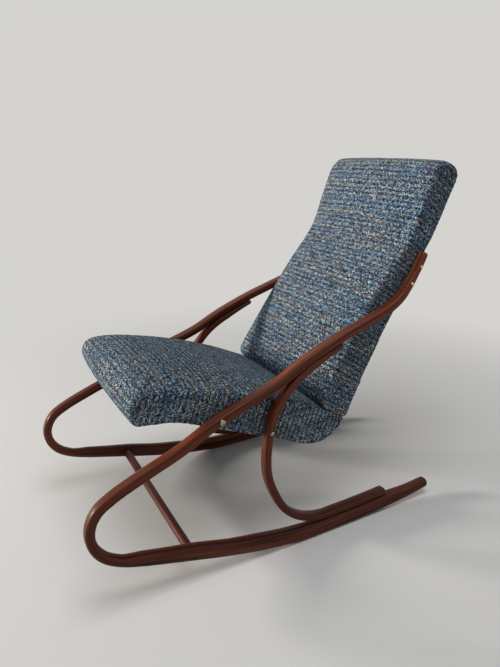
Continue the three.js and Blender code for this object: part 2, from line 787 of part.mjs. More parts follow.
// Back straps are stretched over the fronts of the stiles and follow their curve.
const stileLength = stileCurve.getLength();
function backStrap(centreShare) {
  const near = stileDepth / 2 + seatingGap * 2;
  const far = near + webbingThickness;
  const nears = [];
  const fars = [];
  for (let i = -2; i <= 2; i += 1) {
    const share = centreShare + (i / 2) * (webbingWidth / 2 / stileLength);
    const centre = stileCurve.getPointAt(share);
    const along = stileCurve.getTangentAt(share);
    nears.push([centre.y - along.z * near, centre.z + along.y * near]);
    fars.push([centre.y - along.z * far, centre.z + along.y * far]);
  }
  return panel([...nears, ...fars.reverse()], ...whole(frameX));
}
for (let i = 0; i < backStrapCount; i += 1) {
  const share = THREE.MathUtils.lerp(backLowRailShare, backTopRailShare, (i + 0.5) / backStrapCount);
  addPiece(`back_strap_${i + 1}`, backStrap(share), webbing);
}

// Padding and covers

// Everything of the seat frame and its straps, with clearance, down through the underside
const zoneX = (z) => frameX(z) + seatingGap;
const deepUnder = seatUnder - seatThickness;
const seatZone = join(
  panel(seatRect(
    frontRailFront - seatingGap, frontRailBack + seatingGap, deepUnder, frontRailTop + seatingGap,
  ), ...whole(zoneX)),
  panel(seatRect(
    frontRailBack, seatRailEnd + seatingGap, deepUnder, strapHigh + seatingGap,
  ), ...whole(zoneX)),
);
const stileZone = panel(stileOutline(seatingGap * 2), zoneX, (z) => boardInnerX(z) - seatingGap);
const stileZones = join(stileZone, mirrored(stileZone));

// Holes through padding and cover on both sides for the fasteners that run into the frames inside
function sideBores(diameter, places) {
  return places.flatMap((place) => {
    const bore = boreFor(diameter, boardInnerX(place.z), farOut, place);
    return [bore, mirrored(bore)];
  });
}
const seatBores = sideBores(boltDiameter, [armBolt, legScrew]);
addPiece('seat_foam', cut(cushionBlock(seatBlock, liningInset), seatZone, stileZones, ...seatBores), padding);

const hemReach = (z) => upholsteryX(z) - hemWidth;
const seatOpening = panel(
  seatRect(frontRailFront + hemWidth / 2, seatRailEnd - hemWidth / 2, deepUnder, seatUnder + seatingGap),
  ...whole(hemReach),
);
addPiece('seat_cover', cut(
  cushionBlock(seatBlock, 0), cushionBlock(seatBlock, coverThickness), seatOpening, stileZones, ...seatBores,
), tweed);

// The dust cloth closes the underside inside the hem.
const clothEdge = (z) => hemReach(z) - seatingGap * 2;
const dustCloth = panel(
  seatRect(frontRailBack + seatingGap, seatRailEnd - hemWidth / 2 - seatingGap * 2,
    seatUnder - seatingGap - clothThickness, seatUnder - seatingGap),
  ...whole(clothEdge),
);
addPiece('seat_dust_cloth', dustCloth, lining);

// The back's padding lies in front of the frame and round its edges.
const hollowFront = stileDepth / 2 + seatingGap * 3 + webbingThickness;
const hollowOutline = stileBand(hollowFront, stileDepth / 2 + seatingGap, backThickness, seatingGap);
const backBores = sideBores(backScrewDiameter, backScrews);
const backZone = panel(hollowOutline, ...whole(zoneX));
addPiece('back_foam', cut(cushionBlock(backBlock, liningInset), backZone, ...backBores), padding);

// The back's cover is open inside its hem where it stands on the seat.
const footOutline = [
  backPlace(-backThickness, -backThickness), backPlace(0, -backThickness),
  backPlace(0, backThickness * 2), backPlace(-backThickness, backThickness * 2),
];
const backOpening = common(panel(hollowOutline, ...whole(hemReach)), panel(footOutline, ...whole(hemReach)));
addPiece('back_cover', cut(
  cushionBlock(backBlock, 0), cushionBlock(backBlock, coverThickness), stileZones, backOpening, ...backBores,
), tweed);

// The origin lies on the floor under the middle of the whole chair.
const extent = new THREE.Box3().setFromObject(chair);
chair.position.set(0, -(extent.min.y + extent.max.y) / 2, 0);
chair.updateMatrixWorld(true);

export default chair;
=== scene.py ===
# %% [markdown]
# A bentwood rocking chair. Two steamed and bent wooden frames carry a seat block and a high back
# block, both padded and covered in a tweed of blue, cream and tan yarns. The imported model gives
# every piece its place, in metres, with the sitter's left at +X and the back of the chair at +Y.

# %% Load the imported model
import math

import bmesh
import bpy
import numpy as np
from mathutils import Matrix, Vector
from mathutils.bvhtree import BVHTree


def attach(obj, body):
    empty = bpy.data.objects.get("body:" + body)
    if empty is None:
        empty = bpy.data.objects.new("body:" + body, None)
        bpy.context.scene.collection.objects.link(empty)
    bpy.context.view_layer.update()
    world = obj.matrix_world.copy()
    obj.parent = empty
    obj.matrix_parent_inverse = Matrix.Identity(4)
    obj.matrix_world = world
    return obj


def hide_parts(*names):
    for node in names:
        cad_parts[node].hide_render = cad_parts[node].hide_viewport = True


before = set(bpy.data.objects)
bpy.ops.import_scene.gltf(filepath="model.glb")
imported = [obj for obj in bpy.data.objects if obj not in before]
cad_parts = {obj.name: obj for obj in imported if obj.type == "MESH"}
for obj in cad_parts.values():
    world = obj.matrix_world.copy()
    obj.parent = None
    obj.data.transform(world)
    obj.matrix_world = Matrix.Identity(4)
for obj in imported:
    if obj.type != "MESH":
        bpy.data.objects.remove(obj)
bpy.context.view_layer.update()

scene = bpy.context.scene

# %% [markdown]
# The camera stands to the chair's left front and looks down on it a little. Its place, its turn and
# its focal length come from matching known points of the chair with the photograph.

# %% Camera
FOCAL_PIXELS = 554.3
IMAGE_WIDTH = 500
CAMERA_PLACE = Vector((1.257, -0.6583, 0.9646))
CAMERA_AZIMUTH = math.radians(61.676)
CAMERA_DROP = math.radians(18.541)
CAMERA_ROLL = math.radians(0.41)

ahead = Vector((-math.sin(CAMERA_AZIMUTH) * math.cos(CAMERA_DROP),
                math.cos(CAMERA_AZIMUTH) * math.cos(CAMERA_DROP), -math.sin(CAMERA_DROP)))
level_right = Vector((math.cos(CAMERA_AZIMUTH), math.sin(CAMERA_AZIMUTH), 0))
level_up = level_right.cross(ahead)
right = level_right * math.cos(CAMERA_ROLL) - level_up * math.sin(CAMERA_ROLL)
up = level_up * math.cos(CAMERA_ROLL) + level_right * math.sin(CAMERA_ROLL)

camera_data = bpy.data.cameras.new("photo_camera")
camera_data.sensor_fit = "HORIZONTAL"
camera_data.sensor_width = 36
camera_data.lens = FOCAL_PIXELS / IMAGE_WIDTH * camera_data.sensor_width
camera = bpy.data.objects.new("photo_camera", camera_data)
scene.collection.objects.link(camera)
turn = Matrix((right, up, -ahead)).transposed().to_4x4()
camera.matrix_world = Matrix.Translation(CAMERA_PLACE) @ turn
scene.camera = camera
print("lens", round(camera_data.lens, 2), "mm")

# %% [markdown]
# Every finish is built from a few kinds of node, so short functions start a material, add a node
# with its values, and do one step of arithmetic.

# %% Material helpers
def new_material(name):
    material = bpy.data.materials.new(name)
    material.use_nodes = True
    tree = material.node_tree
    return material, tree, tree.nodes["Principled BSDF"]


def set_inputs(node, **values):
    for key, value in values.items():
        node.inputs[key.replace("_", " ")].default_value = value


def add_node(tree, kind, settings=None, **values):
    """A new node, with settings for its own properties and values for its inputs."""
    made = tree.nodes.new(kind)
    for key, value in (settings or {}).items():
        setattr(made, key, value)
    set_inputs(made, **values)
    return made


def combine(tree, operation, first, second):
    """One step of arithmetic. Each side is a number or another node's output."""
    made = add_node(tree, "ShaderNodeMath", {"operation": operation})
    for socket, value in zip(made.inputs, (first, second)):
        if isinstance(value, (int, float)):
            socket.default_value = value
        else:
            tree.links.new(value, socket)
    return made.outputs[0]


def mix_shaders(tree, amount, first, second):
    made = tree.nodes.new("ShaderNodeMixShader")
    for socket, value in zip(made.inputs, (amount, first, second)):
        tree.links.new(value, socket)
    return made.outputs[0]


def object_place(tree):
    return tree.nodes.new("ShaderNodeTexCoord").outputs["Object"]


# %% [markdown]
# The floor is plain and pale. Near the chair it is an ordinary matt surface that takes the shadow.
# Further away it turns into an even pale tone for whatever sees it directly, so it has no visible
# end. The world works in the same way: it lights the chair softly, but looks like the pale tone.

# %% Floor and world
PALE = (0.66, 0.65, 0.63, 1)
FLOOR_COLOUR = (0.86, 0.85, 0.83, 1)
FLOOR_REACH = 25
FADE_START = 0.7
FADE_END = 2.2
WORLD_COLOUR = (0.84, 0.93, 1.0, 1)
WORLD_STRENGTH = 0.10


def seen_directly(tree):
    """1 for rays from the camera, from a mirror or through glass, and 0 for light on the object."""
    path = tree.nodes.new("ShaderNodeLightPath")
    total = path.outputs["Is Camera Ray"]
    for name in ("Is Glossy Ray", "Is Transmission Ray"):
        total = combine(tree, "MAXIMUM", total, path.outputs[name])
    return total


def floor_material():
    material, tree, shader = new_material("pale_floor")
    set_inputs(shader, Base_Color=FLOOR_COLOUR, Roughness=0.8)
    length = add_node(tree, "ShaderNodeVectorMath", {"operation": "LENGTH"})
    tree.links.new(object_place(tree), length.inputs[0])
    smooth = {"interpolation_type": "SMOOTHSTEP"}
    far = add_node(tree, "ShaderNodeMapRange", smooth, From_Min=FADE_START, From_Max=FADE_END)
    tree.links.new(length.outputs["Value"], far.inputs["Value"])
    amount = combine(tree, "MULTIPLY", far.outputs["Result"], seen_directly(tree))
    even = add_node(tree, "ShaderNodeEmission", Color=PALE)
    surface = mix_shaders(tree, amount, shader.outputs[0], even.outputs[0])
    tree.links.new(surface, tree.nodes["Material Output"].inputs["Surface"])
    return material


floor_mesh = bpy.data.meshes.new("floor")
floor_corners = [(x * FLOOR_REACH, y * FLOOR_REACH, 0) for x, y in ((-1, -1), (1, -1), (1, 1), (-1, 1))]
floor_mesh.from_pydata(floor_corners, [], [(0, 1, 2, 3)])
floor_mesh.materials.append(floor_material())
floor = bpy.data.objects.new("floor", floor_mesh)
scene.collection.objects.link(floor)

world = bpy.data.worlds.new("soft_room")
scene.world = world
world.use_nodes = True
room = world.node_tree
background = room.nodes["Background"]
set_inputs(background, Color=WORLD_COLOUR, Strength=WORLD_STRENGTH)
backdrop = add_node(room, "ShaderNodeBackground", Color=PALE)
around = mix_shaders(room, seen_directly(room), background.outputs[0], backdrop.outputs[0])
room.links.new(around, room.nodes["World Output"].inputs["Surface"])
scene.view_settings.view_transform = "Standard"
print("floor fades from", FADE_START, "to", FADE_END, "m")

# %% [markdown]
# Three soft lamps stand for the daylight. The main one is low, in front of the chair on the
# sitter's right, so the fronts of the cushions are bright and the side towards the camera is
# darker. A broad one overhead opens the shade, and a weak warm one comes from the rear, on the
# camera's side.

# %% Lamps
# Name, place, what it is aimed at, size in metres, power in watts and tint
LAMPS = [
    ("window_lamp", (-2.7, -3.9, 1.2), (0, 0, 0.45), 0.9, 245, (1, 0.95, 0.88)),
    ("top_lamp", (0.6, -0.2, 3.0), (0, 0, 0.4), 1.6, 34, (0.97, 0.98, 1)),
    ("side_lamp", (2.4, 1.2, 1.5), (0, 0, 0.5), 1.2, 4, (1, 0.90, 0.78)),
]
for name, place, aim, size, watts, tint in LAMPS:
    lamp = bpy.data.lights.new(name, "AREA")
    lamp.shape = "SQUARE"
    lamp.size = size
    lamp.energy = watts
    lamp.color = tint
    holder = bpy.data.objects.new(name, lamp)
    scene.collection.objects.link(holder)
    holder.location = place
    holder.rotation_euler = (Vector(aim) - Vector(place)).to_track_quat("-Z", "Y").to_euler()

# %% [markdown]
# Every curve of the chair lies in a side plane and is given by a few places, so one function draws
# a smooth line through them, and one puts a finished mesh into the scene. The side frames lean in
# towards the top, so a height gives how far out they stand.

# %% Helpers for curves and pieces
FLOOR_HALF_WIDTH = 0.279
SIDE_LEAN = 0.0587
DOUBLES_WITHIN = 1e-6


def outward_x(z):
    """How far the outer side of a side frame is from the middle of the chair, at a height."""
    return FLOOR_HALF_WIDTH - SIDE_LEAN * z


def smooth_line(points, steps, closed=False):
    """A centripetal Catmull-Rom line through the points, with the same number of steps in each gap."""
    points = np.array(points, float)
    if closed:
        guide = np.vstack([points[-1:], points, points[:2]])
    else:
        guide = np.vstack([2 * points[0] - points[1], points, 2 * points[-1] - points[-2]])
    line = []
    for i in range(len(guide) - 3):
        p = guide[i:i + 4]
        t = [0.0]
        for start, end in zip(p, p[1:]):
            t.append(t[-1] + max(np.linalg.norm(end - start), 1e-9) ** 0.5)
        for k in range(steps):
            s = t[1] + (t[2] - t[1]) * k / steps
            a = [(p[j] * (t[j + 1] - s) + p[j + 1] * (s - t[j])) / (t[j + 1] - t[j]) for j in range(3)]
            b = [(a[j] * (t[j + 2] - s) + a[j + 1] * (s - t[j])) / (t[j + 2] - t[j]) for j in range(2)]
            line.append((b[0] * (t[2] - s) + b[1] * (s - t[1])) / (t[2] - t[1]))
    if not closed:
        line.append(points[-1])
    return np.array(line)


def distances(steps):
    """How far one has come before each step, and after the last."""
    return np.concatenate([[0], np.cumsum(np.linalg.norm(steps, axis=1))])


def tangents(line, closed=False):
    if closed:
        change = np.roll(line, -1, 0) - np.roll(line, 1, 0)
    else:
        change = np.gradient(line, axis=0)
    return change / np.linalg.norm(change, axis=1)[:, None]


def smoothstep(value, low, high):
    """0 below low, 1 above high, and a soft rise between them."""
    t = min(1.0, max(0.0, (value - low) / (high - low)))
    return t * t * (3 - 2 * t)


def tube_faces(rings, count, capped=True):
    """The faces of a tube of rings with count places each. Caps close its two ends."""
    faces = []
    for i in range(rings - 1):
        for k in range(count):
            n = (k + 1) % count
            faces.append((i * count + k, i * count + n, (i + 1) * count + n, (i + 1) * count + k))
    if capped:
        last = (rings - 1) * count
        faces.append(tuple(range(count - 1, -1, -1)))
        faces.append(tuple(range(last, last + count)))
    return faces


def closed_outwards(mesh):
    """Merges doubles and turns all faces outwards."""
    work = bmesh.new()
    work.from_mesh(mesh)
    bmesh.ops.remove_doubles(work, verts=work.verts, dist=DOUBLES_WITHIN)
    bmesh.ops.recalc_face_normals(work, faces=work.faces)
    if work.calc_volume(signed=True) < 0:
        bmesh.ops.reverse_faces(work, faces=work.faces)
    work.to_mesh(mesh)
    work.free()
    return mesh


def add_piece(name, mesh, material):
    mesh.name = name
    mesh.materials.clear()
    mesh.materials.append(material)
    for face in mesh.polygons:
        face.use_smooth = True
    piece = bpy.data.objects.new(name, mesh)
    scene.collection.objects.link(piece)
    return piece


print("outward half width at the floor and at the arm tips", outward_x(0), round(outward_x(0.7), 3))

# %% [markdown]
# Most finishes come from noise that is stretched one way, from ramps that turn it into colours,
# and from multiplying one colour by another.

# %% Pattern helpers
def scaled(tree, where, scale):
    mapping = add_node(tree, "ShaderNodeMapping", Scale=scale)
    tree.links.new(where, mapping.inputs["Vector"])
    return mapping.outputs["Vector"]


def stretched_noise(tree, where, scale, detail, roughness):
    noise = add_node(tree, "ShaderNodeTexNoise", Scale=1.0, Detail=detail, Roughness=roughness)
    tree.links.new(scaled(tree, where, scale), noise.inputs["Vector"])
    return noise.outputs["Fac"]


def colour_ramp(tree, source, stops, stepped=False):
    """Turns a number into a colour. Stops are (place, colour), and steps have no blend between."""
    made = tree.nodes.new("ShaderNodeValToRGB")
    ramp = made.color_ramp
    ramp.interpolation = "CONSTANT" if stepped else "LINEAR"
    while len(ramp.elements) > 1:
        ramp.elements.remove(ramp.elements[-1])
    ramp.elements[0].position = stops[0][0]
    ramp.elements[0].color = (*stops[0][1], 1)
    for position, colour in stops[1:]:
        ramp.elements.new(position).color = (*colour, 1)
    tree.links.new(source, made.inputs["Fac"])
    return made.outputs["Color"]


def grey_stops(*stops):
    return [(place, (grey, grey, grey)) for place, grey in stops]


def mix_colours(tree, blend, amount, first, second):
    made = add_node(tree, "ShaderNodeMix", {"data_type": "RGBA", "blend_type": blend})
    if isinstance(amount, float):
        made.inputs[0].default_value = amount
    else:
        tree.links.new(amount, made.inputs[0])
    tree.links.new(first, made.inputs[6])
    tree.links.new(second, made.inputs[7])
    return made.outputs[2]


def tinted(tree, colour, source, stops, strength=1.0):
    """A colour multiplied by what a ramp makes of a number."""
    return mix_colours(tree, "MULTIPLY", strength, colour, colour_ramp(tree, source, stops))


def bump(tree, shader, height, strength, distance):
    made = add_node(tree, "ShaderNodeBump", Strength=strength, Distance=distance)
    tree.links.new(height, made.inputs["Height"])
    tree.links.new(made.outputs["Normal"], shader.inputs["Normal"])


# %% [markdown]
# The wood is beech, stained a dark reddish brown and lacquered. Its long fibres run with the bend,
# so the pattern reads a map that measures metres along each rail and round its section. Four
# layers of stretched noise make broad bands, dark lines, fine fibres and uneven patches of stain.
# The wood is darker near the floor and lighter towards the ends of the arms: painted shade below
# and painted light above. A thin clear coat gives the gloss.

# %% Lacquered wood
# Scale along the rail and round it, detail and roughness
BAND_GRAIN = ((1.6, 60, 1), 3, 0.5)
LINE_GRAIN = ((3.0, 290, 1), 2, 0.5)
FIBRE_GRAIN = ((9, 620, 1), 4, 0.65)
PATCH_GRAIN = ((4, 9, 1), 2, 0.5)
STAIN = [
    (0.32, (0.090, 0.0215, 0.0105)), (0.48, (0.136, 0.0355, 0.0180)), (0.66, (0.205, 0.0620, 0.0330)),
]
LINE_TINT = [(0.38, (0.24, 0.19, 0.16)), (0.47, (0.88, 0.88, 0.88)), (0.62, (1.22, 1.20, 1.17))]
FIBRE_TINT = [(0.36, (0.62, 0.56, 0.5)), (0.56, (1.0, 1.0, 1.0))]
PATCH_TINT = [(0.3, (0.72, 0.68, 0.64)), (0.7, (1.1, 1.06, 1.0))]
# Painted shade near the floor and painted light higher up, by the height above the floor in metres
PAINTED_LIGHT_BY_HEIGHT = [(0.12, (0.84, 0.82, 0.80)), (0.62, (1.34, 1.30, 1.25))]
LACQUER_ROUGHNESS = grey_stops((0.3, 0.52), (0.65, 0.36))


def lacquered_wood():
    material, tree, shader = new_material("lacquered_beech")
    run = add_node(tree, "ShaderNodeUVMap", {"uv_map": "grain"}).outputs["UV"]
    lines = stretched_noise(tree, run, *LINE_GRAIN)
    fibres = stretched_noise(tree, run, *FIBRE_GRAIN)
    place = tree.nodes.new("ShaderNodeSeparateXYZ")
    tree.links.new(object_place(tree), place.inputs["Vector"])
    stain_and_painted_light = colour_ramp(tree, stretched_noise(tree, run, *BAND_GRAIN), STAIN)
    stain_and_painted_light = tinted(tree, stain_and_painted_light, lines, LINE_TINT, strength=0.9)
    stain_and_painted_light = tinted(tree, stain_and_painted_light, fibres, FIBRE_TINT, strength=0.6)
    stain_and_painted_light = tinted(tree, stain_and_painted_light, stretched_noise(tree, run, *PATCH_GRAIN), PATCH_TINT)
    # Painted shade low down and painted light high up, by the height above the floor
    stain_and_painted_light = tinted(tree, stain_and_painted_light, place.outputs["Z"], PAINTED_LIGHT_BY_HEIGHT)
    tree.links.new(stain_and_painted_light, shader.inputs["Base Color"])
    tree.links.new(colour_ramp(tree, fibres, LACQUER_ROUGHNESS), shader.inputs["Roughness"])
    set_inputs(shader, Specular_IOR_Level=0.08, Coat_Weight=0.14, Coat_Roughness=0.12)
    bump(tree, shader, lines, strength=0.15, distance=0.0004)
    return material


wood = lacquered_wood()
print("made", wood.name)

# %% [markdown]
# Each side rail is one length of wood bent into the runner, the front bend and the arm. Its outer
# edge is a smooth line through a few places, its thickness changes along the run, and its section
# is a rectangle with rounded corners. The rail is lofted through many such sections, and its map
# for the grain is written at the same time. The other rail is its mirror image.

# %% Side rails
# Places (y, z) of the outer edge in metres, from the runner's tail to the tip of the arm
RAIL_EDGE = [
    (0.449, 0.022), (0.3867, 0.0125), (0.297, 0.005), (0.1968, 0.001), (0.1071, -0.0006),
    (0.0368, -0.0003), (-0.0327, 0.006), (-0.1078, 0.018), (-0.1879, 0.035), (-0.2727, 0.057),
    (-0.3479, 0.077), (-0.398, 0.091), (-0.443, 0.107), (-0.4799, 0.13), (-0.5021, 0.16),
    (-0.511, 0.196), (-0.505, 0.23), (-0.4857, 0.26), (-0.451, 0.283), (-0.3749, 0.316),
    (-0.2929, 0.348), (-0.2139, 0.388), (-0.1291, 0.42), (-0.0481, 0.449), (0.0341, 0.491),
    (0.1341, 0.532), (0.218, 0.56), (0.2787, 0.581), (0.3231, 0.608), (0.3501, 0.64),
    (0.367, 0.661), (0.3823, 0.685), (0.3934, 0.706),
]
# Thickness at the same places in millimetres
RAIL_THICKNESS = [26, 31] + [41] * 6 + [38, 38, 32.7, 30] + [22] * 18 + [19] * 3
RAIL_WIDTH = 0.028
ARM_TIP_WIDTH = 0.022
# Where the arm narrows, as shares of the run
NARROWS_FROM, NARROWS_TO = 0.8125, 0.9375
RUNNER_CORNER = 0.010
ARM_CORNER = 0.006
# Between which places the corners get sharper
SHARPENS_FROM, SHARPENS_TO = 12, 20
SMALLEST_CORNER = 0.0025
MOST_ROUND = 0.48
CORNER_STEPS = 5
STEPS_PER_GAP = 8
END_ANGLES = (0.3, 0.6, 0.9, 1.2, 1.45)
END_DRAW = 0.85
RAIL_END_ROUND = 0.007
# Shifts of the map, so that no two pieces show the same stretch of grain
RIGHT_RAIL_GRAIN = 4.3
MIRRORED_GRAIN = 0.31


def section(place, inwards, thick, wide, corner, inset):
    """The places of one rounded section. An inset draws it in from all sides."""
    radius = min(max(corner - inset, SMALLEST_CORNER), (min(thick, wide) - 2 * inset) * MOST_ROUND)
    low, high = inset + radius, thick - inset - radius
    outer, inner = inset + radius, wide - inset - radius
    corners = [
        (low, outer, math.pi), (high, outer, 1.5 * math.pi), (high, inner, 0), (low, inner, 0.5 * math.pi),
    ]
    ring = []
    for across, deep, start in corners:
        for k in range(CORNER_STEPS + 1):
            angle = start + k / CORNER_STEPS * math.pi / 2
            t = across + radius * math.cos(angle)
            w = deep + radius * math.sin(angle)
            y = place[0] + inwards[0] * t
            z = max(place[1] + inwards[1] * t, 0.0)
            ring.append((outward_x(z) - w, y, z))
    return ring


def map_grain(mesh, count, run, around):
    """Writes the map: run for each ring of count places, and around for each place and the seam."""
    layer = mesh.uv_layers.new(name="grain")
    for face in mesh.polygons:
        corners = [(j, mesh.loops[j].vertex_index) for j in face.loop_indices]
        places = {v % count for j, v in corners}
        wraps = len(corners) == 4 and {0, count - 1} <= places
        for j, v in corners:
            k = v % count
            layer.data[j].uv = (run[v // count], around[count if wraps and k == 0 else k])


def loft(stations, grain_start):
    """A closed loft through stations (place, along, inwards, thick, wide, corner, inset)."""
    rings = [section(s[0], *s[2:]) for s in stations]
    count = len(rings[0])
    mesh = bpy.data.meshes.new("loft")
    mesh.from_pydata([v for ring in rings for v in ring], [], tube_faces(len(rings), count))
    middles = np.array([np.mean(ring, axis=0) for ring in rings])
    run = grain_start + distances(np.diff(middles, axis=0))
    ring = np.array(rings[len(rings) // 2])
    map_grain(mesh, count, run, distances(np.roll(ring, -1, 0) - ring))
    return mesh


def round_ends(stations, radius):
    """Adds drawn-in stations past both ends, like a quarter circle."""
    def past(station, direction):
        place, along, inwards, thick, wide, corner, _ = station
        extra = []
        for angle in END_ANGLES:
            inset = radius * (1 - math.cos(angle)) * END_DRAW
            moved = place + direction * radius * math.sin(angle)
            extra.append((moved, along, inwards, thick, wide, corner, inset))
        return extra
    first, last = stations[0], stations[-1]
    return past(first, -first[1])[::-1] + stations + past(last, last[1])


def rail_stations():
    line = smooth_line(RAIL_EDGE, STEPS_PER_GAP)
    along = tangents(line)
    gaps = np.arange(len(line)) / STEPS_PER_GAP
    thicks = np.interp(gaps, range(len(RAIL_THICKNESS)), RAIL_THICKNESS) / 1000
    last = (len(RAIL_EDGE) - 1) * STEPS_PER_GAP
    stations = []
    for i, place in enumerate(line):
        inwards = np.array([along[i][1], -along[i][0]])
        narrowing = smoothstep(i / last, NARROWS_FROM, NARROWS_TO)
        wide = RAIL_WIDTH + (ARM_TIP_WIDTH - RAIL_WIDTH) * narrowing
        sharpening = smoothstep(i / STEPS_PER_GAP, SHARPENS_FROM, SHARPENS_TO)
        corner = RUNNER_CORNER + (ARM_CORNER - RUNNER_CORNER) * sharpening
        stations.append((place, along[i], inwards, thicks[i], wide, corner, 0.0))
    return stations


def mirrored(mesh, grain_shift):
    copy = mesh.copy()
    copy.transform(Matrix.Scale(-1, 4, (1, 0, 0)))
    copy.flip_normals()
    for item in copy.uv_layers["grain"].data:
        item.uv = (item.uv[0] + grain_shift, item.uv[1] + MIRRORED_GRAIN)
    return copy


def add_pair(name, node, mesh, grain_shift):
    for side, shape in (("left", mesh), ("right", mirrored(mesh, grain_shift))):
        piece = add_piece(f"{name}_{side}", shape, wood)
        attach(piece, "root")
        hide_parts(f"{node}_{side}")
    print(name, "faces", len(mesh.polygons))


rail_mesh = closed_outwards(loft(round_ends(rail_stations(), RAIL_END_ROUND), 0.0))
add_pair("bent_rail", "rail", rail_mesh, RIGHT_RAIL_GRAIN)

# %% [markdown]
# The rear leg is a thinner bent strip. Its upper end is glued under the arm and its foot lies on
# top of the runner. It is the same kind of loft. Its line is the face that is glued at both ends,
# which is the front of the leg between them.

# %% Rear legs
LEG_EDGE = [
    (0.1366, 0.5088), (0.1165, 0.5012), (0.0883, 0.4899), (0.0605, 0.4781), (0.0354, 0.4666),
    (0.001, 0.444), (-0.0284, 0.4158), (-0.0577, 0.3744), (-0.0723, 0.331), (-0.0808, 0.2874),
    (-0.084, 0.243), (-0.0816, 0.212), (-0.0756, 0.1866), (-0.064, 0.1554), (-0.0494, 0.1246),
    (-0.0286, 0.0954), (0.0004, 0.071), (0.0352, 0.0532), (0.0849, 0.0415), (0.1195, 0.0415),
    (0.1592, 0.0417), (0.2005, 0.0427), (0.2454, 0.0441), (0.2897, 0.0462),
]
LEG_THICKNESS = 0.020
LEG_TIP_THICKNESS = 0.013
# The tip gets its full thickness over this many gaps between places
LEG_TIP_GAPS = 4
LEG_CORNER = 0.008
LEG_END_ROUND = 0.008
LEG_GRAIN = 9.1
RIGHT_LEG_GRAIN = 2.7


def leg_stations():
    line = smooth_line(LEG_EDGE, STEPS_PER_GAP)
    along = tangents(line)
    stations = []
    for i, place in enumerate(line):
        full = smoothstep(i / STEPS_PER_GAP, 0, LEG_TIP_GAPS)
        thick = LEG_TIP_THICKNESS + (LEG_THICKNESS - LEG_TIP_THICKNESS) * full
        inwards = -np.array([along[i][1], -along[i][0]])
        stations.append((place, along[i], inwards, thick, RAIL_WIDTH, LEG_CORNER, 0.0))
    return stations


leg_mesh = closed_outwards(loft(round_ends(leg_stations(), LEG_END_ROUND), LEG_GRAIN))
add_pair("bent_leg", "leg", leg_mesh, RIGHT_LEG_GRAIN)

# %% [markdown]
# The stretcher is turned round on a lathe and has a thinner tenon at each end, which goes into a
# hole in the runner. Its profile is spun about an axis across the chair, and its edges stay crisp.

# %% Front stretcher
STRETCHER_PLACE = (-0.2804, 0.0783)
# Places (x, radius) from one end to the other
STRETCHER_PROFILE = [
    (-0.2624, 0.0), (-0.2624, 0.0066), (-0.262, 0.007), (-0.2455, 0.007),
    (-0.2455, 0.0102), (-0.2447, 0.011), (0.2447, 0.011), (0.2455, 0.0102),
    (0.2455, 0.007), (0.262, 0.007), (0.2624, 0.0066), (0.2624, 0.0),
]
STRETCHER_SIDES = 32
STRETCHER_GRAIN = 14.2
STRETCHER_GIRTH = 0.069
STRETCHER_CRISP = math.radians(40)


def turned_bar(profile, place, sides):
    verts = []
    for x, radius in profile:
        for k in range(sides):
            angle = 2 * math.pi * k / sides
            verts.append((x, place[0] + radius * math.cos(angle), place[1] + radius * math.sin(angle)))
    mesh = bpy.data.meshes.new("bar")
    mesh.from_pydata(verts, [], tube_faces(len(profile), sides, capped=False))
    run = [STRETCHER_GRAIN + x for x, radius in profile]
    map_grain(mesh, sides, run, [STRETCHER_GIRTH * k / sides for k in range(sides + 1)])
    return mesh


stretcher_mesh = closed_outwards(turned_bar(STRETCHER_PROFILE, STRETCHER_PLACE, STRETCHER_SIDES))
stretcher = add_piece("turned_stretcher", stretcher_mesh, wood)
stretcher.modifiers.new("crisp", "EDGE_SPLIT").split_angle = STRETCHER_CRISP
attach(stretcher, "root")
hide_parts("front_stretcher")
print("stretcher faces", len(stretcher_mesh.polygons))

# %% [markdown]
# The cover is a tweed of thick, uneven yarns: several blues, grey, cream, tan, rust and near black.
# A Voronoi pattern with cells of two to three millimetres stands for the loops of yarn, and each
# cell draws its colour by chance. The weave has ribs across the chair, with paler yarns on their
# crests and darker ones between, and whole rows are bluer or browner. These follow a value called
# row on the mesh, the distance in metres over the cushion, so they turn with its edges.

# %% Tweed
CREST_YARNS = [
    (0.00, (0.020, 0.026, 0.042)), (0.16, (0.050, 0.120, 0.230)), (0.34, (0.135, 0.175, 0.210)),
    (0.54, (0.150, 0.330, 0.430)), (0.74, (0.400, 0.560, 0.640)), (0.90, (0.300, 0.250, 0.190)),
    (0.94, (0.560, 0.550, 0.510)),
]
VALLEY_YARNS = [
    (0.00, (0.010, 0.010, 0.013)), (0.24, (0.060, 0.044, 0.037)), (0.42, (0.022, 0.045, 0.100)),
    (0.58, (0.150, 0.135, 0.130)), (0.74, (0.080, 0.175, 0.270)), (0.86, (0.330, 0.200, 0.120)),
    (0.96, (0.520, 0.500, 0.440)),
]
RIB = 0.0130
RIB_WANDER = 0.002
# How far chance blurs the ribs, and how far a thick place in the yarn changes its colour
STRAY = 1.35
SLUB_LEAN = 0.3
LOOPS_PER_METRE = (340, 420, 420)
LOOP_RANDOMNESS = 0.9
# Scale, detail and roughness. All but the first are for the cloth laid flat
FIBRE_NOISE = ((620, 900, 900), 2, 0.6)
ROW_NOISE = ((3.5, 125, 1), 2, 0.5)
BAND_NOISE = ((1.6, 34, 1), 3, 0.55)
SLUB_NOISE = ((16, 110, 1), 2, 0.5)
LOOP_SHADE = [(0.25, (1.35, 1.35, 1.35)), (0.8, (0.36, 0.36, 0.38))]
YARN_FIBRES = [(0.40, (0.45, 0.46, 0.50)), (0.60, (1.50, 1.48, 1.45))]
ROW_TINT = [(0.36, (0.82, 0.88, 0.95)), (0.64, (1.18, 1.11, 1.04))]
BAND_TINT = [(0.38, (0.80, 0.92, 1.04)), (0.62, (1.18, 1.06, 0.95))]
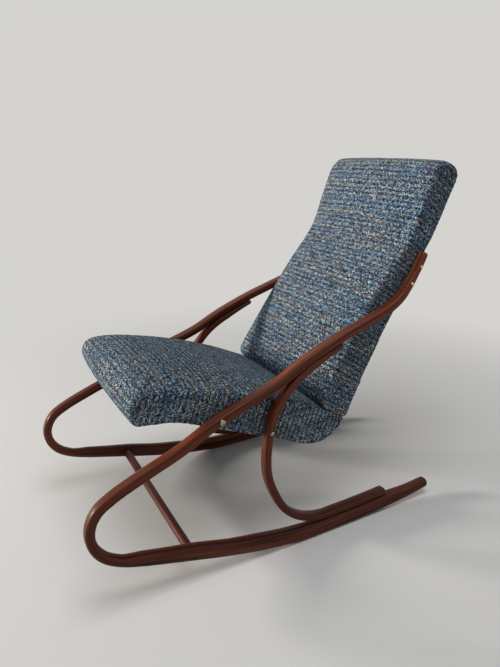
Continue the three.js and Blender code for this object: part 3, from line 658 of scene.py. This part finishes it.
# Painted shade in the valleys of the ribs, and a little painted light on their crests
RIB_PAINTED_SHADE = [(0.0, (0.80, 0.78, 0.78)), (0.5, (1.0, 1.0, 1.0)), (1.0, (1.06, 1.08, 1.09))]
RIB_HEIGHT = 0.3


def laid_flat(tree, where):
    """The row, and the place on the cloth laid flat: across the chair and along the rows."""
    across = tree.nodes.new("ShaderNodeSeparateXYZ")
    tree.links.new(where, across.inputs["Vector"])
    row = add_node(tree, "ShaderNodeAttribute", {"attribute_name": "row"}).outputs["Fac"]
    sheet = tree.nodes.new("ShaderNodeCombineXYZ")
    tree.links.new(across.outputs["X"], sheet.inputs["X"])
    tree.links.new(row, sheet.inputs["Y"])
    return row, sheet.outputs["Vector"]


def tweed(name, slope):
    material, tree, shader = new_material(name)
    where = object_place(tree)
    turned = add_node(tree, "ShaderNodeMapping", Rotation=(-slope, 0, 0))
    tree.links.new(where, turned.inputs["Vector"])
    place = turned.outputs["Vector"]
    row, flat = laid_flat(tree, where)
    slubs = stretched_noise(tree, flat, *SLUB_NOISE)

    loops = add_node(tree, "ShaderNodeTexVoronoi", Scale=1.0, Randomness=LOOP_RANDOMNESS)
    tree.links.new(scaled(tree, place, LOOPS_PER_METRE), loops.inputs["Vector"])
    chance = tree.nodes.new("ShaderNodeSeparateColor")
    tree.links.new(loops.outputs["Color"], chance.inputs["Color"])
    lean = combine(tree, "MULTIPLY", combine(tree, "SUBTRACT", slubs, 0.5), SLUB_LEAN)
    choice = combine(tree, "ADD", chance.outputs["Red"], lean)
    crest = colour_ramp(tree, choice, CREST_YARNS, stepped=True)
    valley = colour_ramp(tree, choice, VALLEY_YARNS, stepped=True)

    wander = combine(tree, "ADD", row, combine(tree, "MULTIPLY", slubs, RIB_WANDER))
    rib = combine(tree, "DIVIDE", combine(tree, "PINGPONG", wander, RIB / 2), RIB / 2)
    stray = combine(tree, "MULTIPLY", combine(tree, "SUBTRACT", chance.outputs["Green"], 0.5), STRAY)
    on_crest = combine(tree, "GREATER_THAN", combine(tree, "ADD", rib, stray), 0.5)
    cloth = mix_colours(tree, "MIX", on_crest, valley, crest)
    cloth = tinted(tree, cloth, loops.outputs["Distance"], LOOP_SHADE)
    cloth = tinted(tree, cloth, stretched_noise(tree, place, *FIBRE_NOISE), YARN_FIBRES)
    cloth = tinted(tree, cloth, stretched_noise(tree, flat, *ROW_NOISE), ROW_TINT)
    cloth = tinted(tree, cloth, stretched_noise(tree, flat, *BAND_NOISE), BAND_TINT)
    # Painted shade in the rib valleys and painted light on the crests
    cloth = tinted(tree, cloth, rib, RIB_PAINTED_SHADE, strength=0.9)
    tree.links.new(cloth, shader.inputs["Base Color"])
    set_inputs(shader, Roughness=0.95, Sheen_Weight=0.05, Sheen_Roughness=0.5, Specular_IOR_Level=0.06)
    height = combine(tree, "SUBTRACT", 1.0, loops.outputs["Distance"])
    height = combine(tree, "ADD", height, combine(tree, "MULTIPLY", rib, RIB_HEIGHT))
    bump(tree, shader, height, strength=0.6, distance=0.0014)
    return material


SEAT_SLOPE = math.radians(-23.1)
BACK_SLOPE = math.atan2(0.8370, 0.5472)
seat_tweed = tweed("seat_tweed", SEAT_SLOPE)
back_tweed = tweed("back_tweed", BACK_SLOPE)
print("yarns", len(CREST_YARNS) + len(VALLEY_YARNS))

# %% [markdown]
# The seat and the back are foam on wooden frames. Each block starts as its side outline carried
# across the chair, with rounded side edges and a low crown. Two lists of millimetres say, for each
# place of the outline, how far the middle of the chair stands out past it, and how far the sides
# draw in. The sides stand close to the bent rails, and upright above the arms.

# %% Cushion outlines
SEAT_OUTLINE = [
    (-0.3844, 0.4191), (-0.3875, 0.4399), (-0.3824, 0.4596), (-0.3676, 0.4739), (-0.3438, 0.4789),
    (-0.3037, 0.476), (-0.2452, 0.4651), (-0.1647, 0.445), (-0.0738, 0.4159), (0.0144, 0.3805),
    (0.0796, 0.3499), (0.1108, 0.334), (0.144, 0.3149), (0.1673, 0.3006), (0.1719, 0.2937),
    (0.163, 0.2856), (0.1456, 0.2701), (0.1271, 0.2574), (0.1017, 0.2487), (0.0764, 0.2481),
    (0.0478, 0.2548), (-0.0351, 0.2902), (-0.1454, 0.3372), (-0.256, 0.3838), (-0.2993, 0.3969),
    (-0.3355, 0.4015), (-0.3625, 0.4044), (-0.378, 0.4087),
]
BACK_OUTLINE = [
    (0.1752, 0.2972), (0.1975, 0.3388), (0.2275, 0.3918), (0.2568, 0.4431), (0.3153, 0.5375),
    (0.3622, 0.6096), (0.4304, 0.7167), (0.4641, 0.7867), (0.4912, 0.8455), (0.5052, 0.8733),
    (0.511, 0.8958), (0.5027, 0.9132), (0.4842, 0.9252), (0.4609, 0.9298), (0.4378, 0.9174),
    (0.4234, 0.8981), (0.4055, 0.8561), (0.388, 0.809), (0.3719, 0.7645), (0.3555, 0.7322),
    (0.3282, 0.6939), (0.2911, 0.6501), (0.2599, 0.6095), (0.2082, 0.5322), (0.1726, 0.4778),
    (0.1346, 0.4178), (0.1089, 0.3749), (0.1033, 0.3535), (0.1095, 0.3368), (0.1436, 0.3168),
]
# Millimetres that the middle of the chair stands out past each place, and that its sides draw in
SEAT_BULGE = [6, 9] + [10] * 6 + [9, 8, 4, 1] + [0] * 14 + [1, 3]
SEAT_DRAW = [2, 3, 6, 8] + [9] * 5 + [8, 5, 2, 1, 1, 1, 2, 2, 2] + [1] * 10
BACK_BULGE = [0, 0, 1, 2, 3] + [4] * 6 + [5, 6, 6, 6] + [7] * 10 + [6, 3, 1, 0, 0]
BACK_DRAW = [1] * 10 + [2, 4, 6, 8] + [9] * 11 + [8, 6, 3, 1, 1]
# Directions (y, z) along the seat, up from it and up the back
SEAT_ALONG = np.array([0.9198, -0.3923])
SEAT_UP = np.array([0.3923, 0.9198])
BACK_ALONG = np.array([0.5472, 0.8370])
EDGE_ROUND = 0.018
BACK_HALF_WIDTH = 0.215
COVER_CLEARANCE = 0.0003
ARMS_END = 0.70
SWELL_RISE = 0.08
SWELL = 0.003
OUTLINE_STEPS = 4
ROUGH_HALF_WIDTH = 0.22
EDGE_PLACES = 9
MIDDLE_PLACES = 21
MIDDLE_SHARE = 0.86
CROWN_POWER = 2.5


def upholstery_x(z):
    """Half width at a height: against the frames below, upright with a little swell above the arms."""
    free = np.clip((np.asarray(z) - ARMS_END) / SWELL_RISE, 0, 1)
    return np.maximum(BACK_HALF_WIDTH, outward_x(z) - RAIL_WIDTH - COVER_CLEARANCE) + SWELL * free


def block_mesh(outline, bulge, draw):
    """The block's outer skin: rings of the outline at many places across the chair."""
    line = smooth_line(outline, OUTLINE_STEPS, closed=True)
    along = tangents(line, closed=True)
    area = np.sum(line[:, 0] * np.roll(line[:, 1], -1) - line[:, 1] * np.roll(line[:, 0], -1))
    out = np.stack([along[:, 1], -along[:, 0]], 1) * np.sign(area)
    point = np.arange(len(line)) / OUTLINE_STEPS
    swell = np.interp(point, range(len(bulge) + 1), bulge + bulge[:1]) / 1000
    drawn = np.interp(point, range(len(draw) + 1), draw + draw[:1]) / 1000
    turns = np.linspace(0.0, math.pi / 2, EDGE_PLACES)
    edge = [1 - (1 - math.sin(turn)) * EDGE_ROUND / ROUGH_HALF_WIDTH for turn in turns]
    middle = list(np.linspace(-MIDDLE_SHARE, MIDDLE_SHARE, MIDDLE_PLACES))
    verts = []
    shares = [-share for share in reversed(edge)] + middle + edge
    for share in shares:
        for i, (place, normal) in enumerate(zip(line, out)):
            half = float(upholstery_x(place[1]))
            past = min(1.0, max(0.0, abs(share) * half - (half - EDGE_ROUND)) / EDGE_ROUND)
            fall = drawn[i] * (1 - math.sqrt(1 - past * past))
            y, z = place + normal * (swell[i] * (1 - abs(share) ** CROWN_POWER) - fall)
            verts.append((share * float(upholstery_x(z)), y, z))
    mesh = bpy.data.meshes.new("block")
    mesh.from_pydata(verts, [], tube_faces(len(shares), len(line)))
    return closed_outwards(mesh)


seat_start = block_mesh(SEAT_OUTLINE, SEAT_BULGE, SEAT_DRAW)
back_start = block_mesh(BACK_OUTLINE, BACK_BULGE, BACK_DRAW)
print("block faces", len(seat_start.polygons), len(back_start.polygons))

# %% [markdown]
# Padding under a tight cover swells where nothing holds it. So each block's mesh is remade in even
# squares, and a cloth simulation with air pressure inside swells and relaxes it like stretched
# fabric. What rests on the frame, or is pulled tight over it, is held, and no place may move
# further than a cap. One round of subdivision then makes the result smooth.

# %% Cloth pass for a cushion
VOXEL = 0.006
FRAMES = 20
PRESSED_CLOTH = {
    "quality": 5, "mass": 0.25, "tension_stiffness": 18, "compression_stiffness": 18,
    "shear_stiffness": 6, "bending_stiffness": 0.6, "use_pressure": True, "uniform_pressure_force": 4,
    "vertex_group_mass": "held",
}
SIDE_CLEARANCE = 0.0001


def baked(piece):
    """The piece's mesh with its modifiers applied."""
    graph = bpy.context.evaluated_depsgraph_get()
    return bpy.data.meshes.new_from_object(piece.evaluated_get(graph))


def point_values(mesh, key):
    """A vector of every point of a mesh, such as its place, as rows of three numbers."""
    values = np.zeros(len(mesh.vertices) * 3, np.float32)
    mesh.vertices.foreach_get(key, values)
    return values.reshape(-1, 3).astype(float)


def swollen(work, before, held, cap):
    """Where the points of a piece are after the cloth has swelled, with every move below the cap."""
    pins = work.vertex_groups.new(name="held")
    for index in np.nonzero(held(before))[0]:
        pins.add([int(index)], 1.0, "REPLACE")
    cloth = work.modifiers.new("cloth", "CLOTH")
    for key, value in PRESSED_CLOTH.items():
        setattr(cloth.settings, key, value)
    cloth.settings.effector_weights.gravity = 0
    cloth.collision_settings.use_collision = False
    cloth.point_cache.frame_start = 1
    cloth.point_cache.frame_end = FRAMES
    for step in range(1, FRAMES + 1):
        scene.frame_set(step)
    move = point_values(baked(work), "co") - before
    work.modifiers.remove(cloth)
    work.vertex_groups.clear()
    scene.frame_set(1)
    far = np.linalg.norm(move, axis=1)[:, None]
    middle = before[:, 1:].mean(0)
    outwards = np.sum(move[:, 1:] * (before[:, 1:] - middle), 1).mean() > 0
    print(work.name, "moved at most", round(float(far.max()) * 1000, 1), "mm, outwards", bool(outwards))
    return before + move * np.where(far > 1e-9, cap * np.tanh(far / cap) / np.maximum(far, 1e-9), 0)


def puffed(name, start, held, cap):
    """Remeshes a block, swells it as cloth and returns the fine mesh."""
    work = add_piece(name, start, wood)
    remesh = work.modifiers.new("even", "REMESH")
    remesh.mode = "VOXEL"
    remesh.voxel_size = VOXEL
    even = baked(work)
    bpy.data.objects.remove(work)
    work = add_piece(name, even, wood)
    places = point_values(even, "co")
    places = swollen(work, places, held, cap)
    limit = upholstery_x(places[:, 2]) - SIDE_CLEARANCE
    places[:, 0] = np.clip(places[:, 0], -limit, limit)
    even.vertices.foreach_set("co", places.astype(np.float32).ravel())
    smooth = work.modifiers.new("fine", "SUBSURF")
    smooth.levels = 1
    smooth.render_levels = 1
    fine = baked(work)
    bpy.data.objects.remove(work)
    return fine

# %% [markdown]
# The seat is held over its underside and the back over its foot, and both along their sides. After
# the pass each point of a cushion gets its row: the distance round the outline to the nearest
# place of it, and on the flat sides the row of the front that lies at the same depth, so that the
# weave runs on from the front round the edge.

# %% Seat and back cushions
ARM_BOLT = (-0.1898, 0.3861)
HELD_UNDER_BOLT = 0.012
HELD_BELOW = 0.345
HELD_AT_SIDE = 0.004
PUFF_CAP = 0.004
ROW_STEPS = 8
SIDE_NORMAL = 0.75
# The search for the nearest place is done in parts, to save memory
SEARCH_PARTS = 60
# The steps of each outline that face the sitter
SEAT_FACING = slice(0, 95)
BACK_FACING = slice(109, None)


def at_side(places):
    return np.abs(places[:, 0]) > upholstery_x(places[:, 2]) - HELD_AT_SIDE


def seat_held(places):
    up_axis = places[:, 1] * SEAT_UP[0] + places[:, 2] * SEAT_UP[1]
    under = up_axis < (ARM_BOLT[0] * SEAT_UP[0] + ARM_BOLT[1] * SEAT_UP[1]) - HELD_UNDER_BOLT
    return under | at_side(places)


def back_held(places):
    return (places[:, 2] < HELD_BELOW) | at_side(places)


def add_rows(mesh, outline, along_axis, facing):
    """Writes the distance over the cushion, which the weave follows, into the mesh."""
    line = smooth_line(outline, ROW_STEPS, closed=True)
    reach = distances(np.diff(line, axis=0))
    places = point_values(mesh, "co")
    parts = np.array_split(places[:, None, 1:], SEARCH_PARTS)
    nearest = np.concatenate([np.argmin(((part - line[None]) ** 2).sum(2), axis=1) for part in parts])
    along = tangents(line, closed=True)[nearest]
    rows = reach[nearest] + np.sum((places[:, 1:] - line[nearest]) * along, axis=1)

    on_side = np.abs(point_values(mesh, "normal")[:, 0]) > SIDE_NORMAL
    depth = (line @ along_axis)[facing]
    order = np.argsort(depth)
    known = depth[order]
    distance = reach[facing][order]
    wanted = places[on_side][:, 1:] @ along_axis
    inside = np.clip(wanted, known[0], known[-1])
    onward = np.sign(distance[-1] - distance[0])
    rows[on_side] = np.interp(inside, known, distance) + (wanted - inside) * onward
    layer = mesh.attributes.new("row", "FLOAT", "POINT")
    layer.data.foreach_set("value", rows.astype(np.float32))


seat_mesh = puffed("seat_cushion", seat_start, seat_held, PUFF_CAP)
back_mesh = puffed("back_cushion", back_start, back_held, PUFF_CAP)
add_rows(seat_mesh, SEAT_OUTLINE, SEAT_ALONG, SEAT_FACING)
add_rows(back_mesh, BACK_OUTLINE, BACK_ALONG, BACK_FACING)
for name, mesh, cloth, nodes in (
        ("seat_cushion", seat_mesh, seat_tweed, ("seat_cover", "seat_foam")),
        ("back_cushion", back_mesh, back_tweed, ("back_cover", "back_foam"))):
    piece = add_piece(name, mesh, cloth)
    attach(piece, "root")
    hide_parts(*nodes)
    print(name, "faces", len(mesh.polygons))

# %% [markdown]
# The large bolts and the leg screws have a bright zinc finish. Broad noise moves their colour
# between dark blue and yellow, which is partly the shimmer of yellow plating and partly painted
# reflection. The small screws are polished brass, and the hidden nuts are plated steel. On these
# broad noise shifts the colour a little, and on all of them fine noise changes the gloss, as handling
# does.

# %% Metal finishes
def metal(name, low, high, rough):
    material, tree, shader = new_material(name)
    where = object_place(tree)
    fine = stretched_noise(tree, where, (900, 900, 900), 3, 0.6)
    broad = stretched_noise(tree, where, (230, 230, 230), 1, 0.4)
    tree.links.new(colour_ramp(tree, broad, [(0.38, low), (0.6, high)]), shader.inputs["Base Color"])
    gloss = colour_ramp(tree, fine, grey_stops((0.3, rough * 1.6), (0.7, rough)))
    tree.links.new(gloss, shader.inputs["Roughness"])
    set_inputs(shader, Metallic=1.0)
    return material


# The dark blue and yellow of the zinc are partly the plating's shimmer and partly painted reflection
zinc = metal("zinc_with_painted_reflection", (0.06, 0.08, 0.13), (0.40, 0.34, 0.16), 0.14)
brass = metal("polished_brass", (0.48, 0.33, 0.13), (0.66, 0.49, 0.21), 0.22)
steel = metal("plated_steel", (0.38, 0.39, 0.41), (0.5, 0.51, 0.53), 0.35)
print("made", zinc.name, brass.name, steel.name)

# %% [markdown]
# Domed bolts hold the seat in the side frames, and small screws hold the back. They repeat, so one
# Geometry Nodes tree makes them all: it draws half of a profile with its domed head and its shank,
# spins it round, sets a copy at each point, and makes the copies real, because the export keeps
# no instances.

# %% Fastener tree
DOME_STEPS = 10
HEAD_SIDES = 32
SPIN_RADIUS = 0.00001
MERGE_WITHIN = 0.00003
# Shares of the head's radius and height that shape its dome
DOME_SHOULDER = 0.86
RIM_HEIGHT = 0.12
FASTENER_SIZES = ("Head radius", "Head height", "Shank radius", "Shank length")


def fastener_tree():
    tree = bpy.data.node_groups.new("domed_fasteners", "GeometryNodeTree")
    kinds = [("Points", "NodeSocketGeometry")]
    kinds += [(name, "NodeSocketFloat") for name in FASTENER_SIZES]
    kinds += [("Turn", "NodeSocketVector"), ("Finish", "NodeSocketMaterial")]
    sockets = {}
    for name, kind in kinds:
        sockets[name] = tree.interface.new_socket(name, in_out="INPUT", socket_type=kind).identifier
    tree.interface.new_socket("Geometry", in_out="OUTPUT", socket_type="NodeSocketGeometry")
    start = tree.nodes.new("NodeGroupInput").outputs
    link = tree.links.new

    def corner(x=None, y=None):
        made = tree.nodes.new("ShaderNodeCombineXYZ")
        for axis, value in (("X", x), ("Y", y)):
            if value is not None:
                link(value, made.inputs[axis])
        return made.outputs[0]

    head, tall, shank = start["Head radius"], start["Head height"], start["Shank radius"]
    deep = combine(tree, "MULTIPLY", start["Shank length"], -1)
    rim = combine(tree, "MULTIPLY", tall, RIM_HEIGHT)
    shoulder = combine(tree, "MULTIPLY", head, DOME_SHOULDER)
    dome = add_node(tree, "GeometryNodeCurveQuadraticBezier", Resolution=DOME_STEPS)
    link(corner(None, tall), dome.inputs["Start"])
    link(corner(shoulder, tall), dome.inputs["Middle"])
    link(corner(head, rim), dome.inputs["End"])
    profile = tree.nodes.new("GeometryNodeJoinGeometry")
    link(dome.outputs[0], profile.inputs[0])
    turns = [(head, rim), (head, None), (shank, None), (shank, deep), (None, deep)]
    for first, second in zip(turns, turns[1:]):
        line = tree.nodes.new("GeometryNodeCurvePrimitiveLine")
        link(corner(*first), line.inputs["Start"])
        link(corner(*second), line.inputs["End"])
        link(line.outputs[0], profile.inputs[0])
    circle = add_node(tree, "GeometryNodeCurvePrimitiveCircle", Resolution=HEAD_SIDES, Radius=SPIN_RADIUS)
    swept = tree.nodes.new("GeometryNodeCurveToMesh")
    link(circle.outputs[0], swept.inputs["Curve"])
    link(profile.outputs[0], swept.inputs["Profile Curve"])
    merged = add_node(tree, "GeometryNodeMergeByDistance", Distance=MERGE_WITHIN)
    link(swept.outputs[0], merged.inputs["Geometry"])
    placed = tree.nodes.new("GeometryNodeInstanceOnPoints")
    link(start["Points"], placed.inputs["Points"])
    link(merged.outputs[0], placed.inputs["Instance"])
    link(start["Turn"], placed.inputs["Rotation"])
    real = tree.nodes.new("GeometryNodeRealizeInstances")
    link(placed.outputs[0], real.inputs[0])
    finish = tree.nodes.new("GeometryNodeSetMaterial")
    link(real.outputs[0], finish.inputs["Geometry"])
    link(start["Finish"], finish.inputs["Material"])
    link(finish.outputs[0], tree.nodes.new("NodeGroupOutput").inputs[0])
    return tree, sockets


domed, domed_sockets = fastener_tree()
print("inputs", list(domed_sockets))

# %% [markdown]
# Each row of the table is one kind of fastener on each side of the chair. A head stands a hair's
# breadth off the wood and its shank points straight across the chair. The tree's result is made a
# plain mesh, and its edges stay crisp.

# %% Fasteners
HEAD_GAP = 0.0008
FASTENER_CRISP = math.radians(50)
# Name, places (y, z), the four sizes of the tree, finish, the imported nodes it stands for, and slot
FASTENERS = [
    ("arm_bolt_dome", [ARM_BOLT], (0.0085, 0.006, 0.004, 0.0600), zinc, ["arm_bolt"], "nickel"),
    ("leg_screw_dome", [(-0.0631, 0.3264)], (0.006, 0.0045, 0.003, 0.0575), zinc, ["leg_screw"], "nickel"),
    ("back_screw_domes", [(0.3869, 0.6741), (0.3585, 0.6330)], (0.00425, 0.0028, 0.00225, 0.0475), brass,
     ["back_screw_upper", "back_screw_lower"], "brass"),
]


def add_fasteners(name, places, side, sizes, finish, nodes):
    base = bpy.data.meshes.new(name)
    base.from_pydata(places, [], [])
    piece = bpy.data.objects.new(name, base)
    scene.collection.objects.link(piece)
    modifier = piece.modifiers.new("fasteners", "NODES")
    modifier.node_group = domed
    for key, value in zip(FASTENER_SIZES, sizes):
        modifier[domed_sockets[key]] = value
    modifier[domed_sockets["Turn"]] = (0.0, -math.radians(90) * side, 0.0)
    modifier[domed_sockets["Finish"]] = finish
    mesh = closed_outwards(baked(piece))
    bpy.data.objects.remove(piece)
    piece = add_piece(name, mesh, finish)
    piece.modifiers.new("crisp", "EDGE_SPLIT").split_angle = FASTENER_CRISP
    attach(piece, "root")
    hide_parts(*nodes)
    across = point_values(mesh, "co")[:, 0]
    print(name, "faces", len(mesh.polygons), "x", round(across.min(), 4), round(across.max(), 4))


for name, places, sizes, finish, nodes, slot in FASTENERS:
    for side, sign in (("left", 1), ("right", -1)):
        points = [(sign * (outward_x(z) + HEAD_GAP), y, z) for y, z in places]
        add_fasteners(f"{name}_{side}", points, sign, sizes, finish, [f"{n}_{side}" for n in nodes])

# %% [markdown]
# Inside the upholstery are sawn wooden frames, jute webbing and nuts, and a black cloth closes the
# underside. The frames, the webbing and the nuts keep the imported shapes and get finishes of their
# own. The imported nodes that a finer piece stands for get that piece's finish too.

# %% Inner finishes
def sawn_wood():
    material, tree, shader = new_material("sawn_wood")
    bands = stretched_noise(tree, object_place(tree), (40, 6, 40), 4, 0.6)
    tone = colour_ramp(tree, bands, [(0.3, (0.34, 0.21, 0.11)), (0.7, (0.58, 0.40, 0.23))])
    tree.links.new(tone, shader.inputs["Base Color"])
    set_inputs(shader, Roughness=0.8)
    bump(tree, shader, bands, strength=0.2, distance=0.0005)
    return material


def woven(name, dark, light, pitch):
    material, tree, shader = new_material(name)
    where = object_place(tree)
    threads = []
    for axis in ("X", "Y"):
        wave = add_node(tree, "ShaderNodeTexWave", {"bands_direction": axis}, Scale=pitch, Distortion=0.4)
        tree.links.new(where, wave.inputs["Vector"])
        threads.append(wave.outputs["Fac"])
    weave = combine(tree, "MULTIPLY", *threads)
    tree.links.new(colour_ramp(tree, weave, [(0.1, dark), (0.8, light)]), shader.inputs["Base Color"])
    set_inputs(shader, Roughness=0.9)
    bump(tree, shader, weave, strength=0.4, distance=0.0004)
    return material


def finish_of(name):
    if "strap" in name:
        return jute
    if "nut" in name:
        return steel
    if "dust" in name:
        return lining
    if "bolt" in name or "leg_screw" in name:
        return zinc
    if "screw" in name:
        return brass
    return raw_wood if name.startswith(("seat_", "back_")) else wood


raw_wood = sawn_wood()
jute = woven("jute_webbing", (0.10, 0.07, 0.04), (0.30, 0.22, 0.13), 90)
lining = woven("black_lining", (0.006, 0.006, 0.008), (0.03, 0.03, 0.034), 220)
for name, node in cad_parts.items():
    node.data.materials.clear()
    node.data.materials.append(finish_of(name))
print("finished", len(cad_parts), "packed nodes")

# %% [markdown]
# The dust cloth is one thin black sheet with its edges folded in. It is tacked up to the seat frame
# all round, so the sheet is laid against the underside of the cushion, found with rays from below,
# and hangs a little in the middle. The folded edge is twice as thick as the rest.

# %% Dust cloth
CLOTH_HALF_WIDTH = 0.206
CLOTH_FRONT = -0.322
CLOTH_REAR = 0.066
CLOTH_THICKNESS = 0.0010
CLOTH_GAP = 0.0004
CLOTH_SAG = 0.003
HEM = 0.012
HEM_END = 0.006
# Grid steps of the sheet each way, and where the rays start. Its hem is folded in all round.
CLOTH_STEPS = 72
RAY_START = 0.1


def cloth_thickness(x, y):
    rim = min(CLOTH_HALF_WIDTH - abs(x), y - CLOTH_FRONT, CLOTH_REAR - y)
    return CLOTH_THICKNESS * (2 - smoothstep(rim, HEM, HEM + HEM_END) if rim > 1e-6 else 1)


def dust_cloth(cushion):
    faces = [tuple(face.vertices) for face in cushion.polygons]
    above = BVHTree.FromPolygons([v.co for v in cushion.vertices], faces)
    upper, lower = [], []
    for i in range(CLOTH_STEPS + 1):
        for j in range(CLOTH_STEPS + 1):
            u = 2 * i / CLOTH_STEPS - 1
            v = 2 * j / CLOTH_STEPS - 1
            x = u * CLOTH_HALF_WIDTH
            y = CLOTH_FRONT + (v + 1) / 2 * (CLOTH_REAR - CLOTH_FRONT)
            height = above.ray_cast(Vector((x, y, RAY_START)), Vector((0, 0, 1)))[0].z
            top = height - CLOTH_GAP - CLOTH_SAG * (1 - u * u) * (1 - v * v)
            upper.append((x, y, top))
            lower.append((x, y, top - cloth_thickness(x, y)))
    last = CLOTH_STEPS
    wide = last + 1
    total = wide * wide
    faces = []
    for i in range(last):
        for j in range(last):
            k = i * wide + j
            faces.append((k, k + 1, k + wide + 1, k + wide))
            faces.append(tuple(total + n for n in (k, k + wide, k + wide + 1, k + 1)))
    rim_line = [i * wide for i in range(last)] + [last * wide + j for j in range(last)]
    rim_line += [i * wide + last for i in range(last, 0, -1)] + list(range(last, 0, -1))
    for a, b in zip(rim_line, rim_line[1:] + rim_line[:1]):
        faces.append((a, b, total + b, total + a))
    mesh = bpy.data.meshes.new("sheet")
    mesh.from_pydata(upper + lower, [], faces)
    return closed_outwards(mesh)


cloth_mesh = dust_cloth(seat_mesh)
dust = add_piece("dust_cloth", cloth_mesh, lining)
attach(dust, "root")
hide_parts("seat_dust_cloth")
print("dust cloth faces", len(cloth_mesh.polygons))
